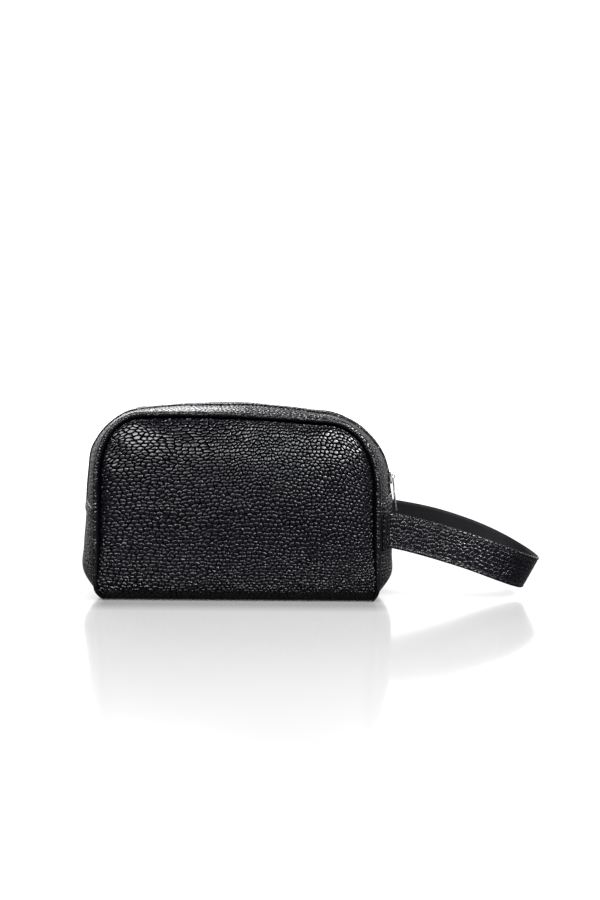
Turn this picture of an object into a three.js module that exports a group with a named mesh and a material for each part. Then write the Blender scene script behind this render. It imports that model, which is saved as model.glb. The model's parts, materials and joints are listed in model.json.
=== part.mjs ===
// Makeup bag: a padded zip-top pouch in pebbled black leather with a wrist strap on its right side.
// Millimetres, +Z up, +X towards the strap, -Y the front. The origin is the middle of the base, on the floor.
import * as THREE from 'three';

// ---- driving sizes -------------------------------------------------------------------------------
const BASE_HALF_WIDTH = 96.5;      // side seam at the base
const DEPTH_LOW = 43;              // half depth between the seams, at the base
const DEPTH_LOSS = 8;              // how much of it is lost by the height of the top seam
const SEAM_TOP = 128;              // height of the front seam at its highest
const BASE_RADIUS = 18;            // rounding from the front face into the base
const CROWN = 6;                   // how far the padded faces stand out past their seams
const ZIP_ARC = { x: 53.5, z: 76.4, radius: 53.1 };   // the zip's arc round the right top corner
const LEFT_SEAM_CORNER = { x: -62, z: 81.8, wide: 33.8, high: 46.8, power: 2.22 };
const RIGHT_SEAM_CORNER = { x: 55, z: 72.1, wide: 41.2, high: 52.5, power: 2.34 };
const LEFT_CREST_CORNER = { x: -62, z: 91, wide: 42.5, high: 40.7, power: 1.97 };
const LEFT_BELLY = { wide: 110.5, z: 30, fade: 1 };      // widest part of the sides, and how it narrows
const RIGHT_BELLY = { wide: 109.1, z: 28, fade: 6 };
const CREST_RISE = 4.2;            // bow of the zip line between the two top corners
const SEAM_BOW = 1.7;              // bow of the top seam between the two top corners

const LEATHER = 1.2;
const GAP = 0.3;                   // air between pieces that touch
const FOAM = [2.0, 4.2];           // depths below the outer face
const LINING = [5.0, 5.6];
const SIDE_LINING = [2.4, 3.0];
const POCKET = [6.4, 7.0];
const TAPE = [1.5, 2.1];
const COIL = [-0.3, 1.2];
const PIPING_RADIUS = 2.1;
const PIPING_BORE = 1.3;
const CORD_RADIUS = 1.0;
const PIPING_STEPS = 40;
const SEAM_CLEARANCE = 1.3;        // panel edge to piping, where the panels are sewn together
const ZIP_OPENING = 4.2;           // middle of the zip to the folded edge of the leather strip
const COIL_HALF = [0.65, 2.9];     // nearest and farthest reach of one coil from the zip's middle
const TAPE_HALF = [0.65, 17];
const LIP_GAP = 1.4;               // between a folding lip and the strip that stays on the corner

const STRAP_HALF_WIDTH = 12;
const STRAP_ROOT = { x: 105.6, z: 51 };
const STRAP_REACH = 100.4;         // root to tip, along the strap's middle line
const STRAP_ROOT_HALF_GAP = 30;    // half the distance between the two legs where they are sewn
const STRAP_HALF_GAP = 37;         // the same where the loop is widest
const STRAP_SLOPE = [0.17, 0.36];  // droop at the root, and how much is added by the tip
const STRAP_SAG = 1.2;             // how late the droop is added
const STRAP_ROLL = 0.06;           // the rear leg is sewn on a little higher than the front one
const STRAP_LEATHER = [0, 1.3];
const STRAP_BACKING = [1.6, 2.4];
const STRAP_STEPS = 34;

const SLIDER_ANGLE = THREE.MathUtils.degToRad(7.5);
const SLIDER = { long: 10.5, wide: 8.4, lower: [-4.0, -3.0], upper: [0.8, 1.8], web: 0.8 };
const BRIDGE = { inner: 1.0, outer: 1.9, wide: 2.2 };
const PULL = { long: 25, wide: 7.2, thick: 1.0, slotWide: 3.6, slotLong: 3.2, bar: 0.5, taper: 0.8 };
const PULL_PIVOT_HEIGHT = 3.3;     // above the zip's arc
const PULL_LEAN = THREE.MathUtils.degToRad(5.5);      // it hangs against the bulging side

// ---- materials -----------------------------------------------------------------------------------
const leather = () => new THREE.MeshStandardMaterial({ color: 0x2a2b2e, roughness: 0.55, metalness: 0 });
const cloth = () => new THREE.MeshStandardMaterial({ color: 0x151517, roughness: 0.9, metalness: 0 });
const foam = () => new THREE.MeshStandardMaterial({ color: 0xc9c6bd, roughness: 0.95, metalness: 0 });
const board = () => new THREE.MeshStandardMaterial({ color: 0x8d8678, roughness: 0.9, metalness: 0 });
const nylon = () => new THREE.MeshStandardMaterial({ color: 0x101012, roughness: 0.45, metalness: 0 });
const nickel = () => new THREE.MeshStandardMaterial({ color: 0xc8c9cc, roughness: 0.2, metalness: 1 });

const bag = new THREE.Group();
function add(name, geometry, material) {
  const mesh = new THREE.Mesh(geometry, material);
  mesh.name = name;
  bag.add(mesh);
  return mesh;
}

// ---- the two lines that shape the bag ---------------------------------------------------------------
// Both run from the left base, up over the top and down to the right base, with matching stations.
const SIDE_STEPS = 5;
const CORNER_STEPS = 8;
const TOP_STEPS = 8;
const LEFT_CORNER = SIDE_STEPS;
const TOP_LEFT = LEFT_CORNER + CORNER_STEPS;
const TOP_RIGHT = TOP_LEFT + TOP_STEPS;
const RIGHT_CORNER = TOP_RIGHT + CORNER_STEPS;
const LAST = RIGHT_CORNER + SIDE_STEPS;

function cornerPoint(corner, angle, side) {
  const reach = Math.cos(angle) ** (2 / corner.power);
  const rise = Math.sin(angle) ** (2 / corner.power);
  return new THREE.Vector3(corner.x + side * corner.wide * reach, 0, corner.z + corner.high * rise);
}

function closedLine(left, right, leftSide, rightSide, bow) {
  const points = [];
  for (let i = 0; i < SIDE_STEPS; i++) points.push(leftSide(left.z * i / SIDE_STEPS));
  for (let i = 0; i <= CORNER_STEPS; i++) {
    points.push(cornerPoint(left, Math.PI / 2 * i / CORNER_STEPS, -1));
  }
  const from = points.at(-1);
  const to = cornerPoint(right, Math.PI / 2, 1);
  for (let i = 1; i < TOP_STEPS; i++) {
    const f = i / TOP_STEPS;
    const lift = bow * Math.sin(Math.PI * f);
    points.push(new THREE.Vector3().lerpVectors(from, to, f).add(new THREE.Vector3(0, 0, lift)));
  }
  for (let i = CORNER_STEPS; i >= 0; i--) {
    points.push(cornerPoint(right, Math.PI / 2 * i / CORNER_STEPS, 1));
  }
  for (let i = SIDE_STEPS - 1; i >= 0; i--) points.push(rightSide(right.z * i / SIDE_STEPS));
  return new THREE.CatmullRomCurve3(points, false, 'catmullrom', 0.5);
}

const seamSide = (corner, side) => z => {
  const width = THREE.MathUtils.lerp(BASE_HALF_WIDTH, Math.abs(corner.x) + corner.wide, z / corner.z);
  return new THREE.Vector3(side * width, 0, z);
};
const crestSide = (corner, side, belly) => z => {
  const rise = Math.min(1, z / belly.z);
  const low = BASE_HALF_WIDTH + (belly.wide - BASE_HALF_WIDTH) * (1 - (1 - rise) ** 4);
  const over = Math.max(0, (z - belly.z) / (corner.z - belly.z));
  const width = THREE.MathUtils.lerp(low, Math.abs(corner.x) + corner.wide, over ** belly.fade);
  return new THREE.Vector3(side * width, 0, z);
};
const rightCrest = { x: ZIP_ARC.x, z: ZIP_ARC.z, wide: ZIP_ARC.radius, high: ZIP_ARC.radius, power: 2 };
const seamLine = closedLine(LEFT_SEAM_CORNER, RIGHT_SEAM_CORNER,
  seamSide(LEFT_SEAM_CORNER, -1), seamSide(RIGHT_SEAM_CORNER, 1), SEAM_BOW);
const crestLine = closedLine(LEFT_CREST_CORNER, rightCrest,
  crestSide(LEFT_CREST_CORNER, -1, LEFT_BELLY), crestSide(rightCrest, 1, RIGHT_BELLY), CREST_RISE);
const seamAt = station => seamLine.getPoint(station / LAST);
const crestAt = station => crestLine.getPoint(station / LAST);
const halfDepth = z => DEPTH_LOW - DEPTH_LOSS * (Math.max(0, z) / SEAM_TOP) ** 1.5;

// ---- sheets ----------------------------------------------------------------------------------------
const spread = (from, to, steps) => Array.from({ length: steps + 1 }, (_, i) => from + (to - from) * i / steps);

function surfaceNormal(surface, a, b) {
  const step = 1e-3;
  const da = surface(a + step, b).sub(surface(a - step, b));
  const db = surface(a, b + step).sub(surface(a, b - step));
  return da.cross(db).normalize();
}

// A closed sheet that follows surface(a, b), between two depths measured inwards from it.
function sheet(surface, as, bs, [top, under]) {
  const positions = [];
  for (const depth of [top, under]) {
    for (const a of as) {
      for (const b of bs) {
        const point = surface(a, b).addScaledVector(surfaceNormal(surface, a, b), -depth);
        positions.push(point.x, point.y, point.z);
      }
    }
  }
  const cols = bs.length;
  const layer = as.length * cols;
  const index = [];
  const quad = (p, q, r, s) => index.push(p, q, r, p, r, s);
  for (let i = 0; i < as.length - 1; i++) {
    for (let j = 0; j < cols - 1; j++) {
      const p = i * cols + j;
      quad(p, p + cols, p + cols + 1, p + 1);
      quad(p + layer, p + 1 + layer, p + cols + 1 + layer, p + cols + layer);
    }
  }
  const wall = (p, q) => quad(p, q, q + layer, p + layer);
  const lastRow = (as.length - 1) * cols;
  for (let j = 0; j < cols - 1; j++) {
    wall(j, j + 1);
    wall(lastRow + j + 1, lastRow + j);
  }
  for (let i = 0; i < as.length - 1; i++) {
    wall((i + 1) * cols, i * cols);
    wall(i * cols + cols - 1, (i + 1) * cols + cols - 1);
  }
  const geometry = new THREE.BufferGeometry();
  geometry.setAttribute('position', new THREE.Float32BufferAttribute(positions, 3));
  geometry.setIndex(index);
  geometry.computeVertexNormals();
  return geometry;
}

// ---- wrap: one piece that makes the front, the base and the rear ---------------------------------------
const EDGE_INSET = PIPING_RADIUS + SEAM_CLEARANCE;
function insetSeam(station) {
  const here = seamAt(station);
  const ahead = seamAt(Math.min(LAST, station + 0.05)).sub(seamAt(Math.max(0, station - 0.05))).normalize();
  return new THREE.Vector3(here.x + ahead.z * EDGE_INSET, 0, here.z - ahead.x * EDGE_INSET);
}

// Where the line passes the top of the base rounding, so the face above it can be filled evenly.
const faceBottomStation = height => SIDE_STEPS * height;
const FACE_LEFT = faceBottomStation(BASE_RADIUS / LEFT_SEAM_CORNER.z);
const FACE_RIGHT = LAST - faceBottomStation(BASE_RADIUS / RIGHT_SEAM_CORNER.z);
const MID_LEFT = LEFT_CORNER + CORNER_STEPS / 2;
const MID_RIGHT = TOP_RIGHT + CORNER_STEPS / 2;

function facePoint(u, v) {
  const left = insetSeam(THREE.MathUtils.lerp(FACE_LEFT, MID_LEFT, v));
  const right = insetSeam(THREE.MathUtils.lerp(FACE_RIGHT, MID_RIGHT, v));
  const low = new THREE.Vector3().lerpVectors(insetSeam(FACE_LEFT), insetSeam(FACE_RIGHT), u);
  const high = insetSeam(THREE.MathUtils.lerp(MID_LEFT, MID_RIGHT, u));
  const corners = new THREE.Vector3()
    .addScaledVector(insetSeam(FACE_LEFT), (1 - u) * (1 - v))
    .addScaledVector(insetSeam(FACE_RIGHT), u * (1 - v))
    .addScaledVector(insetSeam(MID_LEFT), (1 - u) * v)
    .addScaledVector(insetSeam(MID_RIGHT), u * v);
  return new THREE.Vector3()
    .addScaledVector(left, 1 - u).addScaledVector(right, u)
    .addScaledVector(low, 1 - v).addScaledVector(high, v).sub(corners);
}

function crownAt(u, v) {
  const across = 1 - Math.abs(2 * u - 1) ** 3;
  return CROWN * across * Math.sin(Math.PI * THREE.MathUtils.clamp(v, 0, 1)) ** 0.8;
}

// v: front top seam 0, front face down to 1, rounding to 2, base to 3, rear rounding to 4, rear top seam 5.
const WRAP_FACE = 1;
const WRAP_ROUND = 2;
const WRAP_BASE = 3;
const WRAP_REAR_ROUND = 4;
const WRAP_END = 5;
function wrap(v, u) {
  const mirror = v > (WRAP_ROUND + WRAP_BASE) / 2;
  const side = mirror ? 1 : -1;
  const way = mirror ? WRAP_END - v : v;
  const half = halfDepth(BASE_RADIUS);
  if (way <= WRAP_FACE) {
    const up = 1 - way;
    const face = facePoint(u, up);
    return new THREE.Vector3(face.x, side * (halfDepth(face.z) + crownAt(u, up)), face.z);
  }
  const x = facePoint(u, 0).x;
  if (way <= WRAP_ROUND) {
    const turn = (way - WRAP_FACE) * Math.PI / 2;
    const y = half - BASE_RADIUS + BASE_RADIUS * Math.cos(turn);
    return new THREE.Vector3(x, side * y, BASE_RADIUS - BASE_RADIUS * Math.sin(turn));
  }
  return new THREE.Vector3(x, (half - BASE_RADIUS) * 2 * (v - (WRAP_ROUND + WRAP_BASE) / 2), 0);
}
const WRAP_ROWS = [
  ...spread(0, WRAP_FACE, 7), ...spread(WRAP_FACE, WRAP_ROUND, 4).slice(1),
  ...spread(WRAP_ROUND, WRAP_BASE, 2).slice(1), ...spread(WRAP_BASE, WRAP_REAR_ROUND, 4).slice(1),
  ...spread(WRAP_REAR_ROUND, WRAP_END, 7).slice(1),
];

const FOAM_ROWS = [0.08, 0.95];    // top and bottom edge of the front pad
const FOAM_COLS = spread(0.06, 0.94, 8);
const LINING_INSET = 0.03;
const POCKET_ROWS = spread(4.22, 4.7, 4);
const POCKET_COLS = spread(0.2, 0.8, 5);
const BOARD = { wide: 176, deep: 46, thick: 1.8 };

function makeWrap() {
  add('wrap_leather', sheet(wrap, WRAP_ROWS, spread(0, 1, 12), [0, LEATHER]), leather());
  const [top, bottom] = FOAM_ROWS;
  add('foam_front', sheet(wrap, spread(top, bottom, 6), FOAM_COLS, FOAM), foam());
  add('foam_rear', sheet(wrap, spread(WRAP_END - bottom, WRAP_END - top, 6), FOAM_COLS, FOAM), foam());
  const rows = WRAP_ROWS.filter((_, i) => i % 2 === 0)
    .map(v => THREE.MathUtils.clamp(v, LINING_INSET, WRAP_END - LINING_INSET));
  add('lining_body', sheet(wrap, rows, spread(LINING_INSET, 1 - LINING_INSET, 8), LINING), cloth());
  add('slip_pocket', sheet(wrap, POCKET_ROWS, POCKET_COLS, POCKET), cloth());
  const stiffener = new THREE.BoxGeometry(BOARD.wide, BOARD.deep, BOARD.thick);
  stiffener.translate(0, 0, (LEATHER + LINING[0]) / 2);
  add('base_board', stiffener, board());
}

// ---- gusset: the band between the front and rear seams -------------------------------------------------
function baseInset(z) {
  if (z >= BASE_RADIUS) return 0;
  return BASE_RADIUS - Math.sqrt(BASE_RADIUS ** 2 - (BASE_RADIUS - z) ** 2);
}
function gusset(station, w) {
  const seam = seamAt(station);
  const crest = crestAt(station);
  const swell = 1 - w * w;
  const half = halfDepth(seam.z) - baseInset(Math.max(0.2, seam.z));
  return new THREE.Vector3(
    seam.x + (crest.x - seam.x) * swell, w * half, seam.z + (crest.z - seam.z) * swell);
}
const EDGE_W = 1 - EDGE_INSET / halfDepth(BASE_RADIUS);
const INNER_EDGE_W = EDGE_W * 0.97;
const LINING_RISE = 0.45;          // stations the side linings stay above the panels' lower edges
const TOP_EDGE_W = 1 - EDGE_INSET / halfDepth(SEAM_TOP);
const ZIP_MEAN_HEIGHT = 100;
const zipW = distance => distance / halfDepth(ZIP_MEAN_HEIGHT);
const GUSSET_LOW = 0.2;            // station just above the floor
const LEFT_HEM = 3.8;              // top edge of the left side panel, where the zip ends
const RIGHT_HEM = RIGHT_CORNER + 0.2;
const LOW_CURVE = 1.3;             // stations up from the floor where the side bends most

function makeSides() {
  const across = spread(-EDGE_W, EDGE_W, 8);
  const leftRows = [...spread(GUSSET_LOW, LOW_CURVE, 4), ...spread(LOW_CURVE, LEFT_HEM, 3).slice(1)];
  const rightRows = [
    ...spread(RIGHT_HEM, LAST - LOW_CURVE, 3), ...spread(LAST - LOW_CURVE, LAST - GUSSET_LOW, 4).slice(1),
  ];
  add('side_panel_left', sheet(gusset, leftRows, across, [0, LEATHER]), leather());
  add('side_panel_right', sheet(gusset, rightRows, across, [0, LEATHER]), leather());
  const inner = spread(-INNER_EDGE_W, INNER_EDGE_W, 6);
  const lowLining = GUSSET_LOW + LINING_RISE;
  const leftLining = [lowLining, LOW_CURVE, (LOW_CURVE + LEFT_HEM) / 2, LEFT_HEM];
  const rightLining = [RIGHT_HEM, (RIGHT_HEM + LAST - LOW_CURVE) / 2, LAST - LOW_CURVE, LAST - lowLining];
  add('side_lining_left', sheet(gusset, leftLining, inner, SIDE_LINING), cloth());
  add('side_lining_right', sheet(gusset, rightLining, inner, SIDE_LINING), cloth());
}

// ---- zip strips, tapes and coils: fixed round the corners, folding along the top ------------------------
const stationAtX = x => {
  let low = TOP_LEFT;
  let high = TOP_RIGHT;
  while (high - low > 1e-4) {
    const middle = (low + high) / 2;
    if (crestAt(middle).x < x) low = middle; else high = middle;
  }
  return low;
};
const LIP_LEFT = stationAtX(-60);
const LIP_RIGHT = stationAtX(50);
const TOP_STATION_LONG = 14.5;     // millimetres of crest from one station to the next, along the top
const STATION_GAP = LIP_GAP / TOP_STATION_LONG;
const HEM_GAP = 0.06;
const STOP_LONG = 0.16;
const RUNS = {
  left: [LEFT_HEM + HEM_GAP, LIP_LEFT - STATION_GAP, 12],
  right: [LIP_RIGHT + STATION_GAP, RIGHT_HEM - HEM_GAP, 12],
  lip: [LIP_LEFT, LIP_RIGHT, 6],
};
const band = (side, near, far) => side < 0 ? [-far, -near] : [near, far];

function zipRun(label, side, [from, to, steps], stopAt) {
  const end = side < 0 ? 'front' : 'rear';
  const rows = spread(from, to, steps);
  const low = stopAt === 'low' ? from + STOP_LONG + HEM_GAP : from;
  const high = stopAt === 'high' ? to - STOP_LONG - HEM_GAP : to;
  const coilRows = spread(low, high, steps);
  const [stripFrom, stripTo] = band(side, zipW(ZIP_OPENING), TOP_EDGE_W);
  const [tapeFrom, tapeTo] = band(side, zipW(TAPE_HALF[0]), zipW(TAPE_HALF[1]));
  const [coilFrom, coilTo] = band(side, zipW(COIL_HALF[0]), zipW(COIL_HALF[1]));
  add(`${label}_strip_${end}`, sheet(gusset, rows, spread(stripFrom, stripTo, 3), [0, LEATHER]), leather());
  add(`${label}_tape_${end}`, sheet(gusset, rows, spread(tapeFrom, tapeTo, 3), TAPE), cloth());
  add(`${label}_coil_${end}`, sheet(gusset, coilRows, spread(coilFrom, coilTo, 1), COIL), nylon());
}

function makeZip() {
  for (const side of [-1, 1]) {
    zipRun('left', side, RUNS.left, 'low');
    zipRun('lip', side, RUNS.lip, '');
    zipRun('right', side, RUNS.right, 'high');
  }
  const stopWidth = spread(-zipW(COIL_HALF[1]), zipW(COIL_HALF[1]), 1);
  const leftStop = [RUNS.left[0], RUNS.left[0] + STOP_LONG];
  const rightStop = [RUNS.right[1] - STOP_LONG, RUNS.right[1]];
  add('zip_stop_left', sheet(gusset, leftStop, stopWidth, COIL), nylon());
  add('zip_stop_right', sheet(gusset, rightStop, stopWidth, COIL), nylon());
}

// ---- piping: a filler cord in a folded leather cover, sewn into both seams ------------------------------
function pipingPath(side) {
  const points = [];
  const from = 0.8;
  const to = LAST - 0.9;
  for (let i = 0; i <= PIPING_STEPS; i++) {
    const seam = seamAt(from + (to - from) * i / PIPING_STEPS);
    points.push(new THREE.Vector3(seam.x, side * halfDepth(seam.z), seam.z));
  }
  return new THREE.CatmullRomCurve3(points);
}
function ringShape(outer, inner, sides) {
  const at = (radius, i) => {
    const angle = 2 * Math.PI * i / sides;
    return new THREE.Vector2(radius * Math.cos(angle), radius * Math.sin(angle));
  };
  const ring = Array.from({ length: sides }, (_, i) => at(outer, i));
  const shape = new THREE.Shape(ring);
  if (inner > 0) shape.holes.push(new THREE.Path(Array.from({ length: sides }, (_, i) => at(inner, -i))));
  return shape;
}
function makePiping() {
  for (const [label, side] of [['front', -1], ['rear', 1]]) {
    const run = { steps: PIPING_STEPS, extrudePath: pipingPath(side) };
    const cover = new THREE.ExtrudeGeometry(ringShape(PIPING_RADIUS, PIPING_BORE, 6), run);
    const cord = new THREE.ExtrudeGeometry(ringShape(CORD_RADIUS, 0, 5), run);
    add(`piping_cover_${label}`, cover, leather());
    add(`piping_cord_${label}`, cord, cloth());
  }
}

// ---- wrist strap -----------------------------------------------------------------------------------------
function strapHeight(x) {
  const along = Math.max(0, (x - STRAP_ROOT.x) / STRAP_REACH);
  const late = along ** (1 + STRAP_SAG) / (1 + STRAP_SAG);
  return STRAP_ROOT.z - STRAP_REACH * (STRAP_SLOPE[0] * along + STRAP_SLOPE[1] * late);
}
function strapSlope(x) {
  const along = Math.max(0, (x - STRAP_ROOT.x) / STRAP_REACH);
  return STRAP_SLOPE[0] + STRAP_SLOPE[1] * along ** STRAP_SAG;
}
const STRAP_BEND_X = STRAP_ROOT.x + STRAP_REACH - STRAP_HALF_GAP;
const STRAP_CLEARANCE = 2;         // between the sewn ends and the part that swings
const STRAP_START_X = STRAP_ROOT.x + STRAP_HALF_WIDTH + STRAP_CLEARANCE;
const STRAP_OPENING = 45;          // the legs spread over this length from the root
const STRAP_TIP_ROUND = 0.02;      // keeps the rounded root corners from coming to a point
// t: 0 front root, 1 rear root. Two legs and a half-round end, seen from above.
function strapPlan(t) {
  const leg = STRAP_BEND_X - STRAP_START_X;
  const bend = Math.PI * STRAP_HALF_GAP;
  const way = t * (2 * leg + bend);
  const legPoint = (x, side) => {
    const open = THREE.MathUtils.smoothstep(x, STRAP_ROOT.x, STRAP_ROOT.x + STRAP_OPENING);
    return new THREE.Vector2(x, side * THREE.MathUtils.lerp(STRAP_ROOT_HALF_GAP, STRAP_HALF_GAP, open));
  };
  if (way < leg) return legPoint(STRAP_START_X + way, -1);
  if (way > leg + bend) return legPoint(STRAP_BEND_X - (way - leg - bend), 1);
  const turn = (way - leg) / bend * Math.PI;
  return new THREE.Vector2(
    STRAP_BEND_X + STRAP_HALF_GAP * Math.sin(turn), -STRAP_HALF_GAP * Math.cos(turn));
}
function strap(t, k) {
  const plan = strapPlan(THREE.MathUtils.clamp(t, 0, 1));
  const tilt = Math.atan(strapSlope(plan.x));
  const rounding = STRAP_HALF_WIDTH * Math.sqrt(Math.max(STRAP_TIP_ROUND, 1 - k * k));
  const beyond = (t < 0 ? -t : Math.max(0, t - 1)) * rounding;
  const middle = strapHeight(plan.x) + STRAP_ROLL * plan.y;
  const rise = middle + k * STRAP_HALF_WIDTH * Math.cos(tilt);
  return new THREE.Vector3(
    plan.x + k * STRAP_HALF_WIDTH * Math.sin(tilt) - beyond, plan.y, rise + beyond * Math.tan(tilt));
}
function makeStrap() {
  const along = [-1, -0.6, ...spread(0, 1, STRAP_STEPS), 1.6, 2];
  const across = spread(-1, 1, 4);
  add('strap_leather', sheet(strap, along, across, STRAP_LEATHER), leather());
  add('strap_backing', sheet(strap, along, across, STRAP_BACKING), cloth());
}

const STRAP_END = [-2.2, -GAP];    // it lies on the side panel
const STRAP_END_INNER_W = 0.66;
const stationAtHeight = z => RIGHT_CORNER + SIDE_STEPS * (1 - z / ZIP_ARC.z);
function makeStrapEnds() {
  for (const [label, side] of [['front', -1], ['rear', 1]]) {
    const middle = STRAP_ROOT.z + side * STRAP_ROLL * STRAP_ROOT_HALF_GAP;
    const from = stationAtHeight(middle + STRAP_HALF_WIDTH);
    const rows = spread(from, stationAtHeight(middle - STRAP_HALF_WIDTH), 2);
    const across = band(side, STRAP_END_INNER_W, INNER_EDGE_W);
    add(`strap_end_${label}`, sheet(gusset, rows, spread(...across, 2), STRAP_END), leather());
  }
}

// ---- slider and pull -------------------------------------------------------------------------------------
const radial = new THREE.Vector3(Math.cos(SLIDER_ANGLE), 0, Math.sin(SLIDER_ANGLE));
const tangent = new THREE.Vector3(-Math.sin(SLIDER_ANGLE), 0, Math.cos(SLIDER_ANGLE));
const sideways = new THREE.Vector3(0, 1, 0);
function onArc(height) {
  return new THREE.Vector3(ZIP_ARC.x, 0, ZIP_ARC.z).addScaledVector(radial, ZIP_ARC.radius + height);
}
function place(mesh, origin, x, y, z) {
  mesh.quaternion.setFromRotationMatrix(new THREE.Matrix4().makeBasis(x, y, z));
  mesh.position.copy(origin);
}

function makeSlider() {
  const half = SLIDER.wide / 2;
  const web = SLIDER.web / 2;
  const section = new THREE.Shape([
    [-half, SLIDER.lower[0]], [half, SLIDER.lower[0]], [half, SLIDER.lower[1]], [web, SLIDER.lower[1]],
    [web, SLIDER.upper[0]], [half, SLIDER.upper[0]], [half, SLIDER.upper[1]], [-half, SLIDER.upper[1]],
    [-half, SLIDER.upper[0]], [-web, SLIDER.upper[0]], [-web, SLIDER.lower[1]], [-half, SLIDER.lower[1]],
  ].map(([x, y]) => new THREE.Vector2(x, y)));
  const body = new THREE.ExtrudeGeometry(section, { depth: SLIDER.long, steps: 1, bevelEnabled: false });
  body.translate(0, 0, -SLIDER.long / 2);
  place(add('slider_body', body, nickel()), onArc(0), sideways.clone().negate(), radial, tangent);

  const arch = new THREE.Shape();
  const foot = SLIDER.upper[1] + GAP - PULL_PIVOT_HEIGHT;
  arch.moveTo(BRIDGE.outer, foot);
  arch.lineTo(BRIDGE.outer, 0);
  arch.absarc(0, 0, BRIDGE.outer, 0, Math.PI, false);
  arch.lineTo(-BRIDGE.outer, foot);
  arch.lineTo(-BRIDGE.inner, foot);
  arch.lineTo(-BRIDGE.inner, 0);
  arch.absarc(0, 0, BRIDGE.inner, Math.PI, 0, true);
  arch.lineTo(BRIDGE.inner, foot);
  const bridge = new THREE.ExtrudeGeometry(arch, {
    depth: BRIDGE.wide, steps: 1, bevelEnabled: false, curveSegments: 8,
  });
  bridge.translate(0, 0, -BRIDGE.wide / 2);
  place(add('slider_bridge', bridge, nickel()), onArc(PULL_PIVOT_HEIGHT), tangent, radial, sideways);
}

function makePull() {
  const shape = new THREE.Shape();
  const half = PULL.wide / 2;
  const tip = half * PULL.taper;
  const end = -PULL.long;
  shape.moveTo(-half, PULL.bar);
  shape.lineTo(-tip, end + half);
  shape.absarc(0, end + tip, tip, Math.PI, 2 * Math.PI, false);
  shape.lineTo(half, PULL.bar);
  const slot = new THREE.Path();
  slot.moveTo(-PULL.slotWide / 2, -PULL.bar);
  slot.lineTo(PULL.slotWide / 2, -PULL.bar);
  slot.lineTo(PULL.slotWide / 2, -PULL.bar - PULL.slotLong);
  slot.lineTo(-PULL.slotWide / 2, -PULL.bar - PULL.slotLong);
  shape.holes.push(slot);
  const pull = new THREE.ExtrudeGeometry(shape, {
    depth: PULL.thick, steps: 1, bevelEnabled: false, curveSegments: 8,
  });
  pull.translate(0, 0, -PULL.thick / 2);
  const up = new THREE.Vector3(-Math.sin(PULL_LEAN), 0, Math.cos(PULL_LEAN));
  const out = new THREE.Vector3(Math.cos(PULL_LEAN), 0, Math.sin(PULL_LEAN));
  place(add('pull_tab', pull, nickel()), onArc(PULL_PIVOT_HEIGHT), sideways, up, out);
}

makeWrap();
makeSides();
makeZip();
makePiping();
makeStrapEnds();
makeStrap();
makeSlider();
makePull();

export default bag;
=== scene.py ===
import json
import math

import bmesh
import bpy
import numpy as np
from mathutils import Matrix, Vector

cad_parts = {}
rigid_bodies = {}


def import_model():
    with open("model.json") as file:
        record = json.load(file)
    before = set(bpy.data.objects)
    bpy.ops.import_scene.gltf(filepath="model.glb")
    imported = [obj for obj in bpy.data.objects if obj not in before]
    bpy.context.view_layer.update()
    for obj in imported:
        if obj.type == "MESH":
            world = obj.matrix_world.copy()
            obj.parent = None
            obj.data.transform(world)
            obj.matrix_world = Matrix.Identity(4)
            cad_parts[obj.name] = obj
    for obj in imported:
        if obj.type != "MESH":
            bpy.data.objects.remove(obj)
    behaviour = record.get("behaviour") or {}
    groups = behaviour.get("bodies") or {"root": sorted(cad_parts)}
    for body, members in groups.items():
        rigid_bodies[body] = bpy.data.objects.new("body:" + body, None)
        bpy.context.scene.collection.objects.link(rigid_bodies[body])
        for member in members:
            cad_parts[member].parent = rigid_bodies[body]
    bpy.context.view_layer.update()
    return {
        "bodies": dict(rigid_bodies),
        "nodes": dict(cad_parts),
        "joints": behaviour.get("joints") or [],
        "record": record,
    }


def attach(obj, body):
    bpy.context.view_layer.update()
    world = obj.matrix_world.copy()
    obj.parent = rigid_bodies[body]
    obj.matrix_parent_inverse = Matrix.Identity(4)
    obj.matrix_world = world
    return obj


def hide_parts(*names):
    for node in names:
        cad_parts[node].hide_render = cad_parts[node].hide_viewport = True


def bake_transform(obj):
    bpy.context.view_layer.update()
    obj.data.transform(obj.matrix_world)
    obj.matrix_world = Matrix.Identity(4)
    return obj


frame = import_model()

MM = 0.001               # shapes are worked out in millimetres and written in metres

# ---- driving sizes, the same as the frame's, in millimetres ----
BASE_HALF_WIDTH = 96.5
DEPTH_LOW = 43.0
DEPTH_LOSS = 8.0
SEAM_TOP = 128.0
BASE_RADIUS = 18.0
CROWN = 4.8
ZIP_X, ZIP_Z, ZIP_RADIUS = 53.5, 76.4, 53.1
CREST_RISE = 4.2
SEAM_BOW = 1.7
PIPING_RADIUS = 2.1
ZIP_OPENING = 3.6        # middle of the zip to the folded edge of the leather
STRAP_HALF_WIDTH = 12.0
STRAP_ROOT_X, STRAP_ROOT_Z = 105.6, 51.0
STRAP_REACH = 100.4
STRAP_ROOT_HALF_GAP = 30.0
STRAP_HALF_GAP = 37.0
STRAP_SLOPE = (0.17, 0.36)
STRAP_SAG = 1.2
STRAP_ROLL = 0.06        # the rear leg is sewn on a little higher
SIDE_STEPS, CORNER_STEPS, TOP_STEPS = 5, 8, 8
LEFT_CORNER = SIDE_STEPS
TOP_LEFT = LEFT_CORNER + CORNER_STEPS
TOP_RIGHT = TOP_LEFT + TOP_STEPS
RIGHT_CORNER = TOP_RIGHT + CORNER_STEPS
LAST = RIGHT_CORNER + SIDE_STEPS
LEFT_HEM = 3.8
RIGHT_HEM = RIGHT_CORNER + 0.2


# ---- small helpers ----
def lerp(a, b, t):
    return a + (b - a) * t


def smoothstep(x, low, high):
    t = np.clip((np.asarray(x, float) - low) / (high - low), 0, 1)
    return t * t * (3 - 2 * t)


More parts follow.
